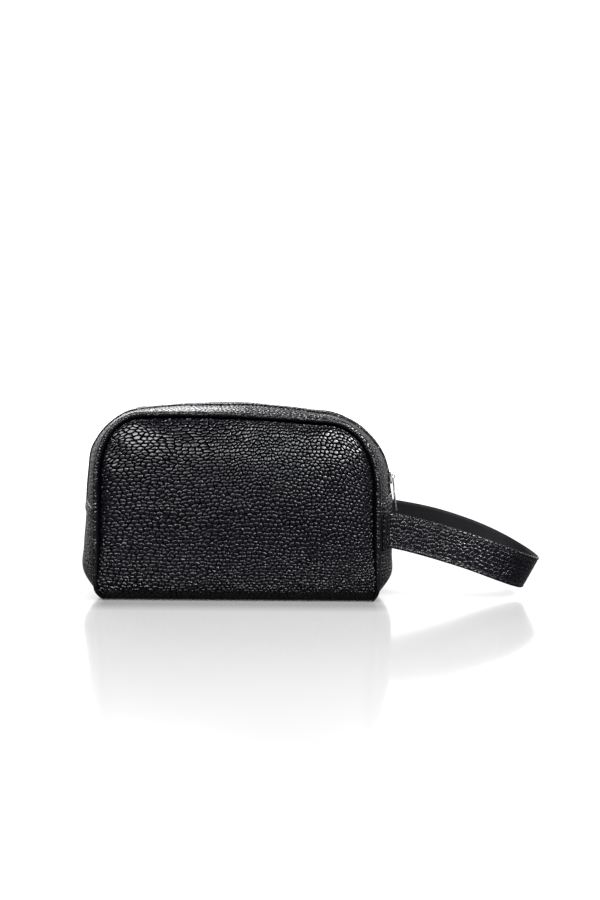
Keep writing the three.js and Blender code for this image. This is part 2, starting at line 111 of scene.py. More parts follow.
def unit(v):
    return v / np.linalg.norm(v, axis=-1, keepdims=True)


def grid(*axes):
    return np.meshgrid(*axes, indexing="ij")


def running_length(points):
    return np.concatenate([[0], np.cumsum(np.linalg.norm(np.diff(points, axis=0), axis=1))])


def joined(*spans):
    """Even steps over spans of (from, to, count), one after another, without repeating an end."""
    return np.concatenate([np.linspace(*span)[i > 0:] for i, span in enumerate(spans)])


def with_ends(points):
    """The points with one more at each end, straight on, as smooth_between needs."""
    p = np.array(points, float)
    return np.vstack([2 * p[0] - p[1], p, 2 * p[-1] - p[-2]])


def smooth_between(a, b, c, d, t):
    """From b to c on the smooth curve through four points in a row."""
    return 0.5 * (2 * b + (c - a) * t + (2 * a - 5 * b + 4 * c - d) * t ** 2
                  + (3 * b - a - 3 * c + d) * t ** 3)


def hashed(ix, iy, seed):
    """A steady random-looking number from 0 to 1 for each whole-numbered cell."""
    h = (ix.astype(np.int64) * 374761393 + iy.astype(np.int64) * 668265263 + seed * 1274126177) & 0xFFFFFFFF
    h = ((h ^ (h >> 13)) * 1274126177) & 0xFFFFFFFF
    h = ((h ^ (h >> 15)) * 2246822519) & 0xFFFFFFFF
    return (h ^ (h >> 16)) / 4294967296.0


def soft_noise(x, y, seed=0):
    """Smooth value noise from -1 to 1, one lump per unit."""
    ix, iy = np.floor(x), np.floor(y)
    fx, fy = x - ix, y - iy
    fx, fy = fx * fx * (3 - 2 * fx), fy * fy * (3 - 2 * fy)
    low = lerp(hashed(ix, iy, seed), hashed(ix + 1, iy, seed), fx)
    high = lerp(hashed(ix, iy + 1, seed), hashed(ix + 1, iy + 1, seed), fx)
    return 2 * lerp(low, high, fy) - 1


def pebbles(a, b, size=3.0, stretch=1.35, seed=1):
    """Litchi grain over surface lengths a and b in mm: 1 on a pebble's top, 0 in the creases."""
    a, b = np.broadcast_arrays(a, b)
    warp = 0.3 * size
    x = (a + warp * soft_noise(a / (2.2 * size), b / (2.2 * size), seed + 11)) / (size * stretch)
    y = (b + warp * soft_noise(a / (2.4 * size), b / (2.4 * size), seed + 12)) / size
    iy = np.floor(y)
    first = np.full(x.shape, 9.0)
    second = np.full(x.shape, 9.0)
    for dy in (-1, 0, 1):
        cy = iy + dy
        shift = 0.5 * np.mod(cy, 2)
        ix = np.floor(x - shift)
        for dx in (-1, 0, 1):
            cx = ix + dx
            px = cx + shift + 0.5 + 0.66 * (hashed(cx, cy, seed) - 0.5)
            py = cy + 0.5 + 0.66 * (hashed(cx, cy, seed + 1) - 0.5)
            d = np.hypot(px - x, py - y)
            second = np.where(d < first, first, np.minimum(second, d))
            first = np.minimum(first, d)
    edge = np.clip((second - first) / 0.34, 0, 1)
    shoulder = 1 - (1 - edge) ** 2.2
    return np.clip(shoulder * (1.02 - 0.26 * np.minimum(first, 0.9) ** 2), 0, 1)


class Line:
    """A smooth line in the XZ plane through stations 0, 1, 2 and so on."""

    def __init__(self, points):
        self.p = with_ends(points)

    def __call__(self, s):
        s = np.clip(np.asarray(s, float), 0, LAST - 1e-9)
        i = np.floor(s).astype(int)
        return smooth_between(*(self.p[i + k] for k in range(4)), (s - i)[..., None])


# ---- the two lines that shape the bag ----
def corner_points(x, z, wide, high, power, side, angles):
    return [(x + side * wide * math.cos(a) ** (2 / power), z + high * math.sin(a) ** (2 / power))
            for a in angles]


def closed_line(left, right, left_side, right_side, bow):
    angles = [math.pi / 2 * i / CORNER_STEPS for i in range(CORNER_STEPS + 1)]
    points = [left_side(left[1] * i / SIDE_STEPS) for i in range(SIDE_STEPS)]
    points += corner_points(*left, -1, angles)
    over = corner_points(*right, 1, angles)
    start, end = points[-1], over[-1]
    for i in range(1, TOP_STEPS):
        f = i / TOP_STEPS
        points.append((lerp(start[0], end[0], f), lerp(start[1], end[1], f) + bow * math.sin(math.pi * f)))
    points += over[::-1]
    points += [right_side(right[1] * i / SIDE_STEPS) for i in range(SIDE_STEPS - 1, -1, -1)]
    return Line(points)


LEFT_SEAM = (-62.0, 81.8, 33.8, 46.8, 2.22)
RIGHT_SEAM = (55.0, 72.1, 41.2, 52.5, 2.34)
LEFT_CREST = (-62.0, 91.0, 42.5, 40.7, 1.97)
RIGHT_CREST = (ZIP_X, ZIP_Z, ZIP_RADIUS, ZIP_RADIUS, 2.0)


def seam_side(corner, side):
    return lambda z: (side * lerp(BASE_HALF_WIDTH, abs(corner[0]) + corner[2], z / corner[1]), z)


def crest_side(corner, side, belly, belly_height, fade):
    def point(z):
        low = BASE_HALF_WIDTH + (belly - BASE_HALF_WIDTH) * (1 - (1 - min(1, z / belly_height)) ** 4)
        over = max(0, (z - belly_height) / (corner[1] - belly_height))
        return side * lerp(low, abs(corner[0]) + corner[2], over ** fade), z
    return point


seam_line = closed_line(LEFT_SEAM, RIGHT_SEAM, seam_side(LEFT_SEAM, -1), seam_side(RIGHT_SEAM, 1), SEAM_BOW)
crest_line = closed_line(LEFT_CREST, RIGHT_CREST, crest_side(LEFT_CREST, -1, 110.5, 30, 1),
                         crest_side(RIGHT_CREST, 1, 109.1, 28, 6), CREST_RISE)


def half_depth(z):
    return DEPTH_LOW - DEPTH_LOSS * (np.maximum(0, z) / SEAM_TOP) ** 1.5


CORNER_PULL = (6.0, 2.5)   # mm that the left and right ends of the base turn in
CORNER_HEIGHT = 12.0


def round_corners(points):
    """Turns the lower corners in towards the base, more at the left than at the right."""
    x, z = points[..., 0], points[..., 2]
    low = np.clip((CORNER_HEIGHT - z) / CORNER_HEIGHT, 0, 1)
    pull = np.where(x < 0, *CORNER_PULL) * (1 - np.sqrt(1 - 0.98 * low ** 2))
    near = smoothstep(np.abs(x), BASE_HALF_WIDTH - 40, BASE_HALF_WIDTH)
    return np.stack([x - np.sign(x) * pull * near, points[..., 1], z], -1)


def seam_grip(z):
    """How deep the panels are drawn into their seams: little near the base, full above it."""
    return lerp(0.4, 1.0, smoothstep(z, BASE_RADIUS, BASE_RADIUS + 26))


# ---- meshes ----
def add_object(name, data):
    obj = bpy.data.objects.new(name, data)
    bpy.context.scene.collection.objects.link(obj)
    return obj


def mesh_from(name, points, faces, smooth=True):
    mesh = bpy.data.meshes.new(name)
    faces = np.asarray(faces, np.int32)
    mesh.vertices.add(len(points))
    mesh.vertices.foreach_set("co", (np.asarray(points, float) * MM).ravel())
    mesh.loops.add(faces.size)
    mesh.loops.foreach_set("vertex_index", faces.ravel())
    mesh.polygons.add(len(faces))
    mesh.polygons.foreach_set("loop_start", np.arange(0, faces.size, faces.shape[1], dtype=np.int32))
    mesh.polygons.foreach_set("use_smooth", np.full(len(faces), smooth))
    mesh.update()
    mesh.validate()
    return add_object(name, mesh)


def grid_faces(rows, cols, loop_cols=False, offset=0):
    i, j = grid(np.arange(rows - 1), np.arange(cols if loop_cols else cols - 1))
    p = i * cols + j
    q = i * cols + (j + 1) % cols
    return np.stack([p, p + cols, q + cols, q], -1).reshape(-1, 4) + offset


def grid_normals(points):
    da = np.gradient(points, axis=0)
    db = np.gradient(points, axis=1)
    n = np.cross(da, db)
    return n / np.maximum(np.linalg.norm(n, axis=-1, keepdims=True), 1e-9)


def set_value(obj, name, values):
    attribute = obj.data.attributes.new(name, "FLOAT", "POINT")
    attribute.data.foreach_set("value", np.asarray(values, np.float32).ravel())


def ring_around(out, third, sides):
    """Directions from each point of a line to the sides of a tube round it."""
    angle = 2 * np.pi * np.arange(sides) / sides
    return out[:, None] * np.cos(angle)[None, :, None] + third[:, None] * np.sin(angle)[None, :, None]


def leather_sheet(name, points, grain, relief=0.22, thickness=1.2, tuck=None, edge=(0.8, 0.5)):
    """A grid of points with grain pressed in: a slab, or a skin with its edges tucked in to given points."""
    normals = grid_normals(points)
    outer = (points + normals * (relief * (grain[..., None] - 0.6))).reshape(-1, 3)
    rows, cols = grain.shape
    n = rows * cols
    border = border_loop(rows, cols)
    count = len(border)
    inner = (points - normals * thickness if tuck is None else tuck).reshape(-1, 3)
    rim = np.arange(count) + n
    low = rim + count
    parts = [outer, outer[border], inner[border]]
    values = [grain.ravel(), np.full(count, edge[0]), np.full(count, edge[1])]
    faces = [grid_faces(rows, cols), np.stack([rim, np.roll(rim, -1), np.roll(low, -1), low], -1)]
    if tuck is None:
        faces.append(grid_faces(rows, cols, offset=n + 2 * count)[:, ::-1])
        parts.append(inner)
        values.append(np.full(n, 0.4))
    obj = mesh_from(name, np.concatenate(parts), np.concatenate(faces))
    set_value(obj, "grain", np.concatenate(values))
    return obj


def plain_sheet(name, points, thickness):
    """A slab without grain."""
    return leather_sheet(name, points, np.full(points.shape[:2], 0.6), 0.0, thickness)


def border_loop(rows, cols):
    top = np.arange(cols)
    right = np.arange(1, rows) * cols + cols - 1
    bottom = (rows - 1) * cols + np.arange(cols - 2, -1, -1)
    left = np.arange(rows - 2, 0, -1) * cols
    return np.concatenate([top, right, bottom, left])


# ---- materials ----
LEATHER_SHINE = 0.15


def scaled(tone, times):
    return tuple(times * c for c in tone)


class Nodes:
    """Short names for building the node tree of a material, or of the world."""

    def __init__(self, name, kind="materials", shader="Principled BSDF"):
        self.owner = getattr(bpy.data, kind).new(name)
        self.owner.use_nodes = True
        self.tree = self.owner.node_tree
        self.shader = self.tree.nodes[shader]
        self.place = self.add("ShaderNodeTexCoord").outputs["Object"]

    def add(self, kind, **settings):
        node = self.tree.nodes.new(kind)
        for key, value in settings.items():
            setattr(node, key, value)
        return node

    def link(self, out, into):
        self.tree.links.new(out, into)

    def noise(self, scale, detail=3.0, rough=0.5):
        node = self.add("ShaderNodeTexNoise")
        node.inputs["Scale"].default_value = scale
        node.inputs["Detail"].default_value = detail
        node.inputs["Roughness"].default_value = rough
        self.link(self.place, node.inputs["Vector"])
        return node.outputs["Fac"]

    def axes(self, out):
        node = self.add("ShaderNodeSeparateXYZ")
        self.link(out, node.inputs[0])
        return node.outputs

    def value(self, name):
        return self.add("ShaderNodeAttribute", attribute_name=name).outputs["Fac"]

    def ramp(self, out, low, high, to_low, to_high, shape="LINEAR"):
        node = self.add("ShaderNodeMapRange", interpolation_type=shape)
        self.link(out, node.inputs["Value"])
        for key, number in (("From Min", low), ("From Max", high), ("To Min", to_low), ("To Max", to_high)):
            node.inputs[key].default_value = number
        return node.outputs["Result"]

    def math(self, operation, a, b=0.0):
        node = self.add("ShaderNodeMath", operation=operation)
        for socket, item in zip(node.inputs, (a, b)):
            if isinstance(item, (int, float)):
                socket.default_value = item
            else:
                self.link(item, socket)
        return node.outputs[0]

    def mix(self, fac, low, high):
        node = self.add("ShaderNodeMix", data_type="RGBA")
        self.link(fac, node.inputs["Factor"])
        for key, item in (("A", low), ("B", high)):
            socket = next(s for s in node.inputs if s.name == key and s.type == "RGBA")
            if isinstance(item, tuple):
                socket.default_value = (*item, 1)
            else:
                self.link(item, socket)
        return next(s for s in node.outputs if s.type == "RGBA")

    def bump(self, height, distance, strength=1.0, normal=None):
        node = self.add("ShaderNodeBump")
        node.inputs["Strength"].default_value = strength
        node.inputs["Distance"].default_value = distance
        self.link(height, node.inputs["Height"])
        if normal is not None:
            self.link(normal, node.inputs["Normal"])
        return node.outputs["Normal"]

    def finish(self, color=None, rough=None, normal=None, **plain):
        for socket, item in (("Base Color", color), ("Roughness", rough), ("Normal", normal)):
            if item is None:
                continue
            if isinstance(item, (int, float)):
                self.shader.inputs[socket].default_value = item
            elif isinstance(item, tuple):
                self.shader.inputs[socket].default_value = (*item, 1)
            else:
                self.link(item, self.shader.inputs[socket])
        for key, number in plain.items():
            self.shader.inputs[key.replace("_", " ")].default_value = number
        return self.owner


def pebbled_leather(name, press, crease=(0.0001, 0.0001, 0.0001), top=(0.0005, 0.00047, 0.0010),
                    rough=(0.5, 0.23)):
    n = Nodes(name)
    grain = n.value("grain")
    cloud = n.noise(22.0, 2.0)
    worn = n.mix(n.ramp(cloud, 0.35, 0.75, 0.0, 0.7), top, scaled(top, 1.5))
    # Colour runs from dark in the creases to the tops' tone: painted shade in the creases.
    color = n.mix(n.ramp(grain, 0.3, 0.85, 0.0, 1.0), crease, worn)
    polish = n.math("ADD", n.ramp(grain, 0.2, 0.9, *rough), n.ramp(cloud, 0.3, 0.7, -0.04, 0.05))
    # The shine is cut almost to nothing in the creases: painted shade, as if the creases were occluded.
    shine = n.shader.inputs["Specular IOR Level"]
    shine.default_value = LEATHER_SHINE
    n.link(n.ramp(grain, 0.3, 0.8, 0.003, LEATHER_SHINE), shine)
    normal = n.bump(grain, press, 1.0)
    normal = n.bump(n.noise(900.0, 3.0), 0.00010, 0.5, normal)
    normal = n.bump(n.noise(2600.0, 2.0), 0.00004, 0.5, normal)
    return n.finish(color, polish, normal)


def smooth_leather(name, tone, rough, shine):
    n = Nodes(name)
    color = n.mix(n.noise(60.0, 3.0), tone, scaled(tone, 1.9))
    polish = n.ramp(n.noise(350.0, 3.0), 0.3, 0.7, rough - 0.07, rough + 0.1)
    normal = n.bump(n.noise(1500.0, 4.0), 0.00008, 0.7)
    return n.finish(color, polish, normal, Specular_IOR_Level=shine)


def woven_cloth(name, tone, thread=0.00042):
    """Plain weave: two sets of threads that pass over and under each other."""
    n = Nodes(name)
    x, y, z = n.axes(n.place)
    across, along = [n.math("ABSOLUTE", n.math("SINE", n.math("MULTIPLY", place, math.pi / thread)))
                     for place in (n.math("ADD", x, y), z)]
    weave = n.math("MAXIMUM", across, along)
    color = n.mix(n.ramp(weave, 0.3, 1.0, 0.0, 1.0), scaled(tone, 0.35), tone)
    shade = n.mix(n.ramp(n.noise(40.0, 3.0), 0.3, 0.7, 0.0, 0.5), color, scaled(tone, 1.3))
    normal = n.bump(weave, 0.00012, 0.8)
    return n.finish(shade, 0.85, normal, Sheen_Weight=0.03, Specular_IOR_Level=0.1)


def nylon(name):
    n = Nodes(name)
    color = n.mix(n.noise(900.0, 2.0), (0.0016, 0.0016, 0.0019), (0.0045, 0.0045, 0.005))
    normal = n.bump(n.noise(3000.0, 2.0), 0.00004, 0.5)
    polish = n.ramp(n.noise(700.0, 2.0), 0.3, 0.7, 0.3, 0.45)
    return n.finish(color, polish, normal, Specular_IOR_Level=0.15)


def thread(name):
    n = Nodes(name)
    twist = n.noise(2200.0, 2.0)
    color = n.mix(twist, (0.0012, 0.0012, 0.0014), (0.005, 0.005, 0.0055))
    polish = n.ramp(twist, 0.3, 0.7, 0.45, 0.65)
    return n.finish(color, polish, n.bump(twist, 0.00008, 0.8), Specular_IOR_Level=0.12)


def plated_metal(name):
    n = Nodes(name)
    haze = n.noise(500.0, 4.0)
    color = n.mix(haze, (0.60, 0.60, 0.61), (0.78, 0.78, 0.79))
    polish = n.ramp(n.noise(160.0, 5.0), 0.3, 0.75, 0.12, 0.30)
    return n.finish(color, polish, n.bump(haze, 0.00002, 0.4), Metallic=1.0)


def dull_stuff(name, noise, low, high, rough, bump):
    """A dull material with a single grain, for what the leather hides."""
    n = Nodes(name)
    grain = n.noise(*noise)
    return n.finish(n.mix(grain, low, high), rough, n.bump(grain, *bump))


LEATHER = pebbled_leather("pebbled_leather", 0.00032)
PANEL_LEATHER = pebbled_leather("panel_leather", 0.0006)
PIPING_LEATHER = pebbled_leather("piping_leather", 0.00018, (0.0005, 0.0005, 0.0006),
                                 (0.0007, 0.0007, 0.0010), (0.34, 0.18))
STRAP_BACK = smooth_leather("strap_backing_leather", (0.0009, 0.0009, 0.0011), 0.6, 0.03)
CLOTH = woven_cloth("lining_cloth", (0.0050, 0.0050, 0.0058))
TAPE = woven_cloth("zip_tape_weave", (0.0028, 0.0028, 0.0031), 0.0006)
NYLON = nylon("zip_nylon")
THREAD = thread("black_thread")
METAL = plated_metal("nickel_plate")
FOAM = dull_stuff("open_foam", (1400.0, 3.0), (0.05, 0.05, 0.05), (0.12, 0.12, 0.12), 0.95, (0.0004, 0.8))
BOARD = dull_stuff("fibre_board", (420.0, 6.0, 0.7), (0.05, 0.045, 0.04), (0.11, 0.10, 0.09), 0.85,
                   (0.00015, 0.6))
COTTON = dull_stuff("filler_cord_cotton", (900.0, 4.0), (0.06, 0.06, 0.06), (0.12, 0.12, 0.12), 0.9,
                    (0.0002, 0.8))


def dress(obj, material):
    obj.data.materials.append(material)
    return obj


# ---- wrap ----
FACE_LEFT = SIDE_STEPS * BASE_RADIUS / LEFT_SEAM[1]
FACE_RIGHT = LAST - SIDE_STEPS * BASE_RADIUS / RIGHT_SEAM[1]
MID_LEFT = LEFT_CORNER + CORNER_STEPS / 2
MID_RIGHT = TOP_RIGHT + CORNER_STEPS / 2


def seam_inset(z, full):
    """How far a panel's edge stays from the seam line: full beside the piping, little near the base."""
    return lerp(0.8, full, smoothstep(z, 8, 30))


def inset_seam(s, full):
    here = seam_line(s)
    ahead = unit(seam_line(s + 0.05) - seam_line(s - 0.05))
    reach = seam_inset(here[..., 1], full)[..., None]
    return here + reach * np.stack([ahead[..., 1], -ahead[..., 0]], -1)


def face_point(u, v, full):
    """A point of the front face's outline filled evenly: u left to right, v base to top."""
    left = inset_seam(lerp(FACE_LEFT, MID_LEFT, v), full)
    right = inset_seam(lerp(FACE_RIGHT, MID_RIGHT, v), full)
    ends = [inset_seam(np.array(s), full) for s in (FACE_LEFT, FACE_RIGHT, MID_LEFT, MID_RIGHT)]
    u, v = u[..., None], v[..., None]
    low = lerp(ends[0], ends[1], u)
    high = inset_seam(lerp(MID_LEFT, MID_RIGHT, u[..., 0]), full)
    corners = (ends[0] * (1 - u) * (1 - v) + ends[1] * u * (1 - v)
               + ends[2] * (1 - u) * v + ends[3] * u * v)
    return left * (1 - u) + right * u + low * (1 - v) + high * v - corners


FACE_WIDTH = 2 * BASE_HALF_WIDTH
FACE_HEIGHT = SEAM_TOP - BASE_RADIUS
FRONT_SEED, REAR_SEED = 20, 40
SLACK = {}                 # what the cloth adds to each face, under the face's seed
SLACK_ROWS, SLACK_COLS = 55, 89
SLACK_FRAMES = 20
SLACK_CAP = 4.0            # mm that the cloth may move a face at most
SLACK_SHARE = 0.7
SLACK_EASE = 0.012         # how much larger the leather is than its outline
SLACK_CLOTH = {"quality": 8, "mass": 0.3, "vertex_group_mass": "pins", "tension_stiffness": 12,
               "compression_stiffness": 12, "bending_stiffness": 0.8, "shrink_min": -SLACK_EASE,
               "shrink_max": -SLACK_EASE, "use_pressure": True, "uniform_pressure_force": 4.0}


def spline_weights(t):
    return ((1 - t) ** 3 / 6, (3 * t ** 3 - 6 * t ** 2 + 4) / 6,
            (-3 * t ** 3 + 3 * t ** 2 + 3 * t + 1) / 6, t ** 3 / 6)


def sample(field, u, up):
    """Reads a coarse field over a face as a smooth surface between its points."""
    if field is None:
        return np.zeros_like(u)
    rows, cols = field.shape
    y, x = np.clip(up, 0, 1) * (rows - 1), np.clip(u, 0, 1) * (cols - 1)
    iy, ix = np.minimum(y.astype(int), rows - 2), np.minimum(x.astype(int), cols - 2)
    padded = np.pad(field, 2, mode="edge")
    total = np.zeros_like(u)
    for dy, wy in enumerate(spline_weights(y - iy)):
        for dx, wx in enumerate(spline_weights(x - ix)):
            total += wy * wx * padded[iy + dy + 1, ix + dx + 1]
    return total


def soften(field):
    wide = np.pad(field, ((1, 1), (0, 0)), mode="edge")
    return 0.25 * wide[:-2] + 0.5 * wide[1:-1] + 0.25 * wide[2:]


def simulate_slack(seed, rear):
    """Blows a coarse sheet of the face up against its seams, as its foam does, and keeps how far it moved."""
    up, u = grid(np.linspace(0, 1, SLACK_ROWS), np.linspace(0, 1, SLACK_COLS))
    rest = wrap_points(4 + up if rear else 1 - up, u)
    faces = grid_faces(SLACK_ROWS, SLACK_COLS)
    sheet = mesh_from("slack_sheet", rest.reshape(-1, 3), faces if rear else faces[:, ::-1])
    pins = sheet.vertex_groups.new(name="pins")
    border = (u == 0) | (u == 1) | (up == 1) | (up == 0)
    pins.add([int(i) for i in np.flatnonzero(border)], 1.0, "REPLACE")
    cloth = sheet.modifiers.new("cloth", "CLOTH")
    for key, value in SLACK_CLOTH.items():
        setattr(cloth.settings, key, value)
    cloth.settings.effector_weights.gravity = 0
    cloth.point_cache.frame_end = SLACK_FRAMES
    scene = bpy.context.scene
    for frame in range(1, SLACK_FRAMES + 1):
        scene.frame_set(frame)
    moved = sheet.evaluated_get(bpy.context.evaluated_depsgraph_get()).data
    flat = np.empty(len(moved.vertices) * 3)
    moved.vertices.foreach_get("co", flat)
    out = (flat.reshape(rest.shape) / MM - rest)[..., 1] * (1 if rear else -1)
    scene.frame_set(1)
    bpy.data.objects.remove(sheet)
    for _ in range(3):
        out = soften(soften(out).T).T
    SLACK[seed] = SLACK_CAP * np.tanh(out / SLACK_CAP) * SLACK_SHARE


def panel_swell(u, up, seed):
    """How far the padded face stands out: crown, rounded shoulders at the seams, and soft unevenness."""
    edge_left, edge_right, edge_top = u * FACE_WIDTH, (1 - u) * FACE_WIDTH, (1 - up) * FACE_HEIGHT
    crown = CROWN * (1 - np.abs(2 * u - 1) ** 3) * np.sin(np.pi * np.clip(up, 0, 1)) ** 0.8
    near = 1 / sum(1 / (edge + 0.4) ** 2 for edge in (edge_left, edge_right, edge_top)) ** 0.5
    grip = seam_grip(BASE_RADIUS + up * FACE_HEIGHT)
    shoulder = 1.8 - grip * (4.6 * np.exp(-near / 1.7) + 1.4 * np.exp(-near / 5.5))
    a, b = u * FACE_WIDTH, up * FACE_HEIGHT
    waves = 0.60 * soft_noise(a / 46, b / 38, seed) + 0.30 * soft_noise(a / 21, b / 17, seed + 1)
    waves *= 0.5 * (1 - np.exp(-near / 14))
    pucker = np.zeros_like(u)
    for along, away, key in ((b, edge_left, 2), (b, edge_right, 3), (a, edge_top, 4)):
        ripple = soft_noise(along / 4.6, np.zeros_like(along), seed + key)
        pucker += 0.42 * ripple * np.exp(-away / 5.5) * (1 - np.exp(-away / 1.2))
    return crown + shoulder + waves + 0.6 * pucker + sample(SLACK.get(seed), u, up)


def faces_swell(rear, u, up):
    return np.where(rear, panel_swell(u, up, REAR_SEED), panel_swell(u, up, FRONT_SEED))


def wrap_points(v, u, full=3.2):
    """v: 0 front top seam, 1 front rounding, 2 base, 3 rear rounding, 4 rear face, 5 rear top seam."""
    rear = v > 2.5
    side = np.where(rear, 1.0, -1.0)
    way = np.where(rear, 5 - v, v)
    up = np.clip(1 - way, 0, 1)
    face = face_point(u, up, full)
    y_face = half_depth(face[..., 1]) + faces_swell(rear, u, up)
    base = face_point(u, np.zeros_like(u), full)
    low_swell = faces_swell(rear, u, np.zeros_like(u))
    half = half_depth(np.array(BASE_RADIUS))
    turn = np.clip(way - 1, 0, 1) * np.pi / 2
    reach = BASE_RADIUS + low_swell * np.cos(turn) ** 2
    y_round = half - BASE_RADIUS + reach * np.cos(turn)
    z_round = BASE_RADIUS - BASE_RADIUS * np.sin(turn)
    y_flat = (half - BASE_RADIUS) * (1 - 2 * np.clip(way - 2, 0, 0.5))
    x = np.where(way <= 1, face[..., 0], base[..., 0])
    y = np.where(way <= 1, y_face, np.where(way <= 2, y_round, y_flat))
    z = np.where(way <= 1, face[..., 1], np.where(way <= 2, z_round, 0.0))
    return round_corners(np.stack([x, side * y, z], -1))


def grain_size(place, spread):
    """Pebbles passed up to each place, where they grow from the middle of a face towards its left edge."""
    rate = 1 / (1 + spread * np.clip(0.3 - place / BASE_HALF_WIDTH, 0, 1.3) ** 1.5)
    step = np.diff(place, prepend=place[:1])
    return np.cumsum(rate * step)


def make_wrap():
    rows = joined((0, 1, 331), (1, 2, 61), (2, 3, 61), (3, 4, 61), (4, 5, 291))
    v, u = grid(rows, np.linspace(0, 1, 521))
    points = wrap_points(v, u)
    middle = points[:, points.shape[1] // 2]
    a, b = points[..., 0], np.broadcast_to(running_length(middle)[:, None], u.shape)
    table = np.linspace(-1.2, 1.2, 481) * BASE_HALF_WIDTH
    a = np.interp(a, table, grain_size(table, 0.55)) + 7 * soft_noise(a / 60, b / 60, 7)
    grain = pebbles(a, b + 5 * soft_noise(a / 50, b / 50, 9), 2.5, 1.2, 5)
    low = smoothstep(np.minimum(v, 5 - v), 1.2, 1.9)
    grain = lerp(grain, 0.75, 0.6 * low)
    tuck = wrap_points(v, u, 0.5) - grid_normals(points) * 2.6
    # The edge tucked into the seam gets the creases' dark colour and almost no shine (edge 0.4 and 0.1):
    # painted shade in the groove beside the piping.
    obj = leather_sheet("wrap", points, grain, 0.9, tuck=tuck, edge=(0.4, 0.1))
    dress(obj, PANEL_LEATHER)
    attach(obj, "bag")
    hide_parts("wrap_leather")


# ---- gusset ----
def base_inset(z):
    z = np.clip(z, 0.2, BASE_RADIUS)
    return BASE_RADIUS - np.sqrt(BASE_RADIUS ** 2 - (BASE_RADIUS - z) ** 2)


def gusset_points(s, w):
    """The band between the seams: s along them, w from -1 at the front seam to 1 at the rear seam."""
    seam, crest = seam_line(s), crest_line(s)
    half = half_depth(seam[..., 1]) - base_inset(seam[..., 1])
    xz = seam + (crest - seam) * (1 - w * w)[..., None]
    return round_corners(np.stack([xz[..., 0], w * half, xz[..., 1]], -1))


def gusset_normals(s, w):
    step = 1e-3
    da = gusset_points(s + step, w) - gusset_points(s - step, w)
    db = gusset_points(s, w + step) - gusset_points(s, w - step)
    return unit(np.cross(da, db))


def seam_dip(away):
    """The rounded shoulder of a panel that is pulled down into its seam."""
    return -2.4 * np.exp(-away / 1.3) - 0.8 * np.exp(-away / 4)


CREST_STATIONS = np.linspace(0, LAST, 6000)
CREST_RUN = running_length(crest_line(CREST_STATIONS))


def crest_run(s):
    """Millimetres along the crest up to station s."""
    return np.interp(s, CREST_STATIONS, CREST_RUN)


def run_station(run):
    return np.interp(run, CREST_RUN, CREST_STATIONS)


def gusset_half(s):
    z = seam_line(s)[..., 1]
    return half_depth(z) - base_inset(z)


def make_side(name, s_from, s_to, hem, nodes, seed):
    s, f = grid(run_station(np.linspace(crest_run(s_from), crest_run(s_to), 230)), np.linspace(-1, 1, 260))
    half = gusset_half(s)
    edge = 1 - seam_inset(seam_line(s)[..., 1], 2.6) / half
    w = f * edge
    points, normals = gusset_points(s, w), gusset_normals(s, w)
    away = half * (edge - np.abs(w))
    swell = 0.5 * soft_noise(s * 1.1, w * 2.2, seed) + seam_dip(away) * seam_grip(points[..., 2])
    to_hem = np.abs(crest_run(s) - crest_run(hem))
    swell += 1.0 * (1 - smoothstep(to_hem, 6.8, 7.8)) - 0.9 * np.exp(-to_hem / 0.45)
    swell -= 0.35 * np.exp(-((to_hem - 2.4) / 0.5) ** 2)
    points = points + normals * swell[..., None]
    grain = pebbles(w * half, crest_run(s), 2.5, 1.3, seed + 3)
    tuck = gusset_points(s, f * (1 - 0.5 / half)) - normals * 2.6
    hem_edge = to_hem < 1e-6
    tuck[hem_edge] = (points - normals * 1.8)[hem_edge]
    obj = leather_sheet(name, points, grain, 0.6, tuck=tuck)
    dress(obj, LEATHER)
    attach(obj, "bag")
    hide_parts(*nodes)


LIP_MID_X = -5.0


def crest_station(x):
    low, high = TOP_LEFT, TOP_RIGHT
    for _ in range(30):
        middle = (low + high) / 2
        if crest_line(np.array(middle))[0] < x:
            low = middle
        else:
            high = middle
    return low


MID_STATION = crest_station(LIP_MID_X)


def bend_over(obj, part):
    """Bakes the piece's placement into its mesh, the same for both halves."""
    if part == "left":
        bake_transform(obj)
    else:
        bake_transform(obj)


def halves():
    yield "left", LEFT_HEM - 0.25, MID_STATION
    yield "right", RIGHT_HEM + 0.25, MID_STATION


def band_grid(s_from, s_to, near, far, side, rows, cols):
    """Stations and reaches of a band that runs along the zip, near and far in mm from its middle."""
    low, high = sorted((crest_run(s_from), crest_run(s_to)))
    s, f = grid(run_station(np.linspace(low, high, rows)), np.linspace(0, 1, cols))
    half = gusset_half(s)
    far = half + far if far < 0 else far
    w = side * (lerp(near, far, f) if side > 0 else lerp(far, near, f)) / half
    return s, w, half


def strip_sway(s, w, side):
    return 0.45 * soft_noise(s * 0.9, w * 2.5, 60 + side)


def make_strip(part, s_from, s_to, end, side):
    s, w, half = band_grid(s_from, s_to, ZIP_OPENING, -2.6, side, 380, 84)
    points, normals = gusset_points(s, w), gusset_normals(s, w)
    from_zip = np.abs(w) * half - ZIP_OPENING
    swell = seam_dip(half - 2.6 - np.abs(w) * half) + strip_sway(s, w, side)
    swell += 1.0 * (1 - smoothstep(from_zip, 7.5, 8.6)) * smoothstep(from_zip, -0.6, 0.9)
    swell -= 0.40 * np.exp(-((from_zip - 2.2) / 0.45) ** 2)
    points = points + normals * swell[..., None]
    grain = pebbles(crest_run(s), w * half, 2.5, 1.3, 70 + side)
    obj = leather_sheet(f"strip_{end}_{part}", points, grain, 0.36, 1.6)
    dress(obj, LEATHER)
    bend_over(obj, part)
    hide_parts(f"{part}_strip_{end}", f"lip_strip_{end}")


def make_tape(part, s_from, s_to, end, side):
    s, w, _ = band_grid(s_from, s_to, 0.25, 16.0, side, 160, 8)
    points = gusset_points(s, w) - gusset_normals(s, w) * 1.9
    obj = plain_sheet(f"tape_{end}_{part}", points, 0.5)
    dress(obj, TAPE)
    bend_over(obj, part)
    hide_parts(f"{part}_tape_{end}", f"lip_tape_{end}")


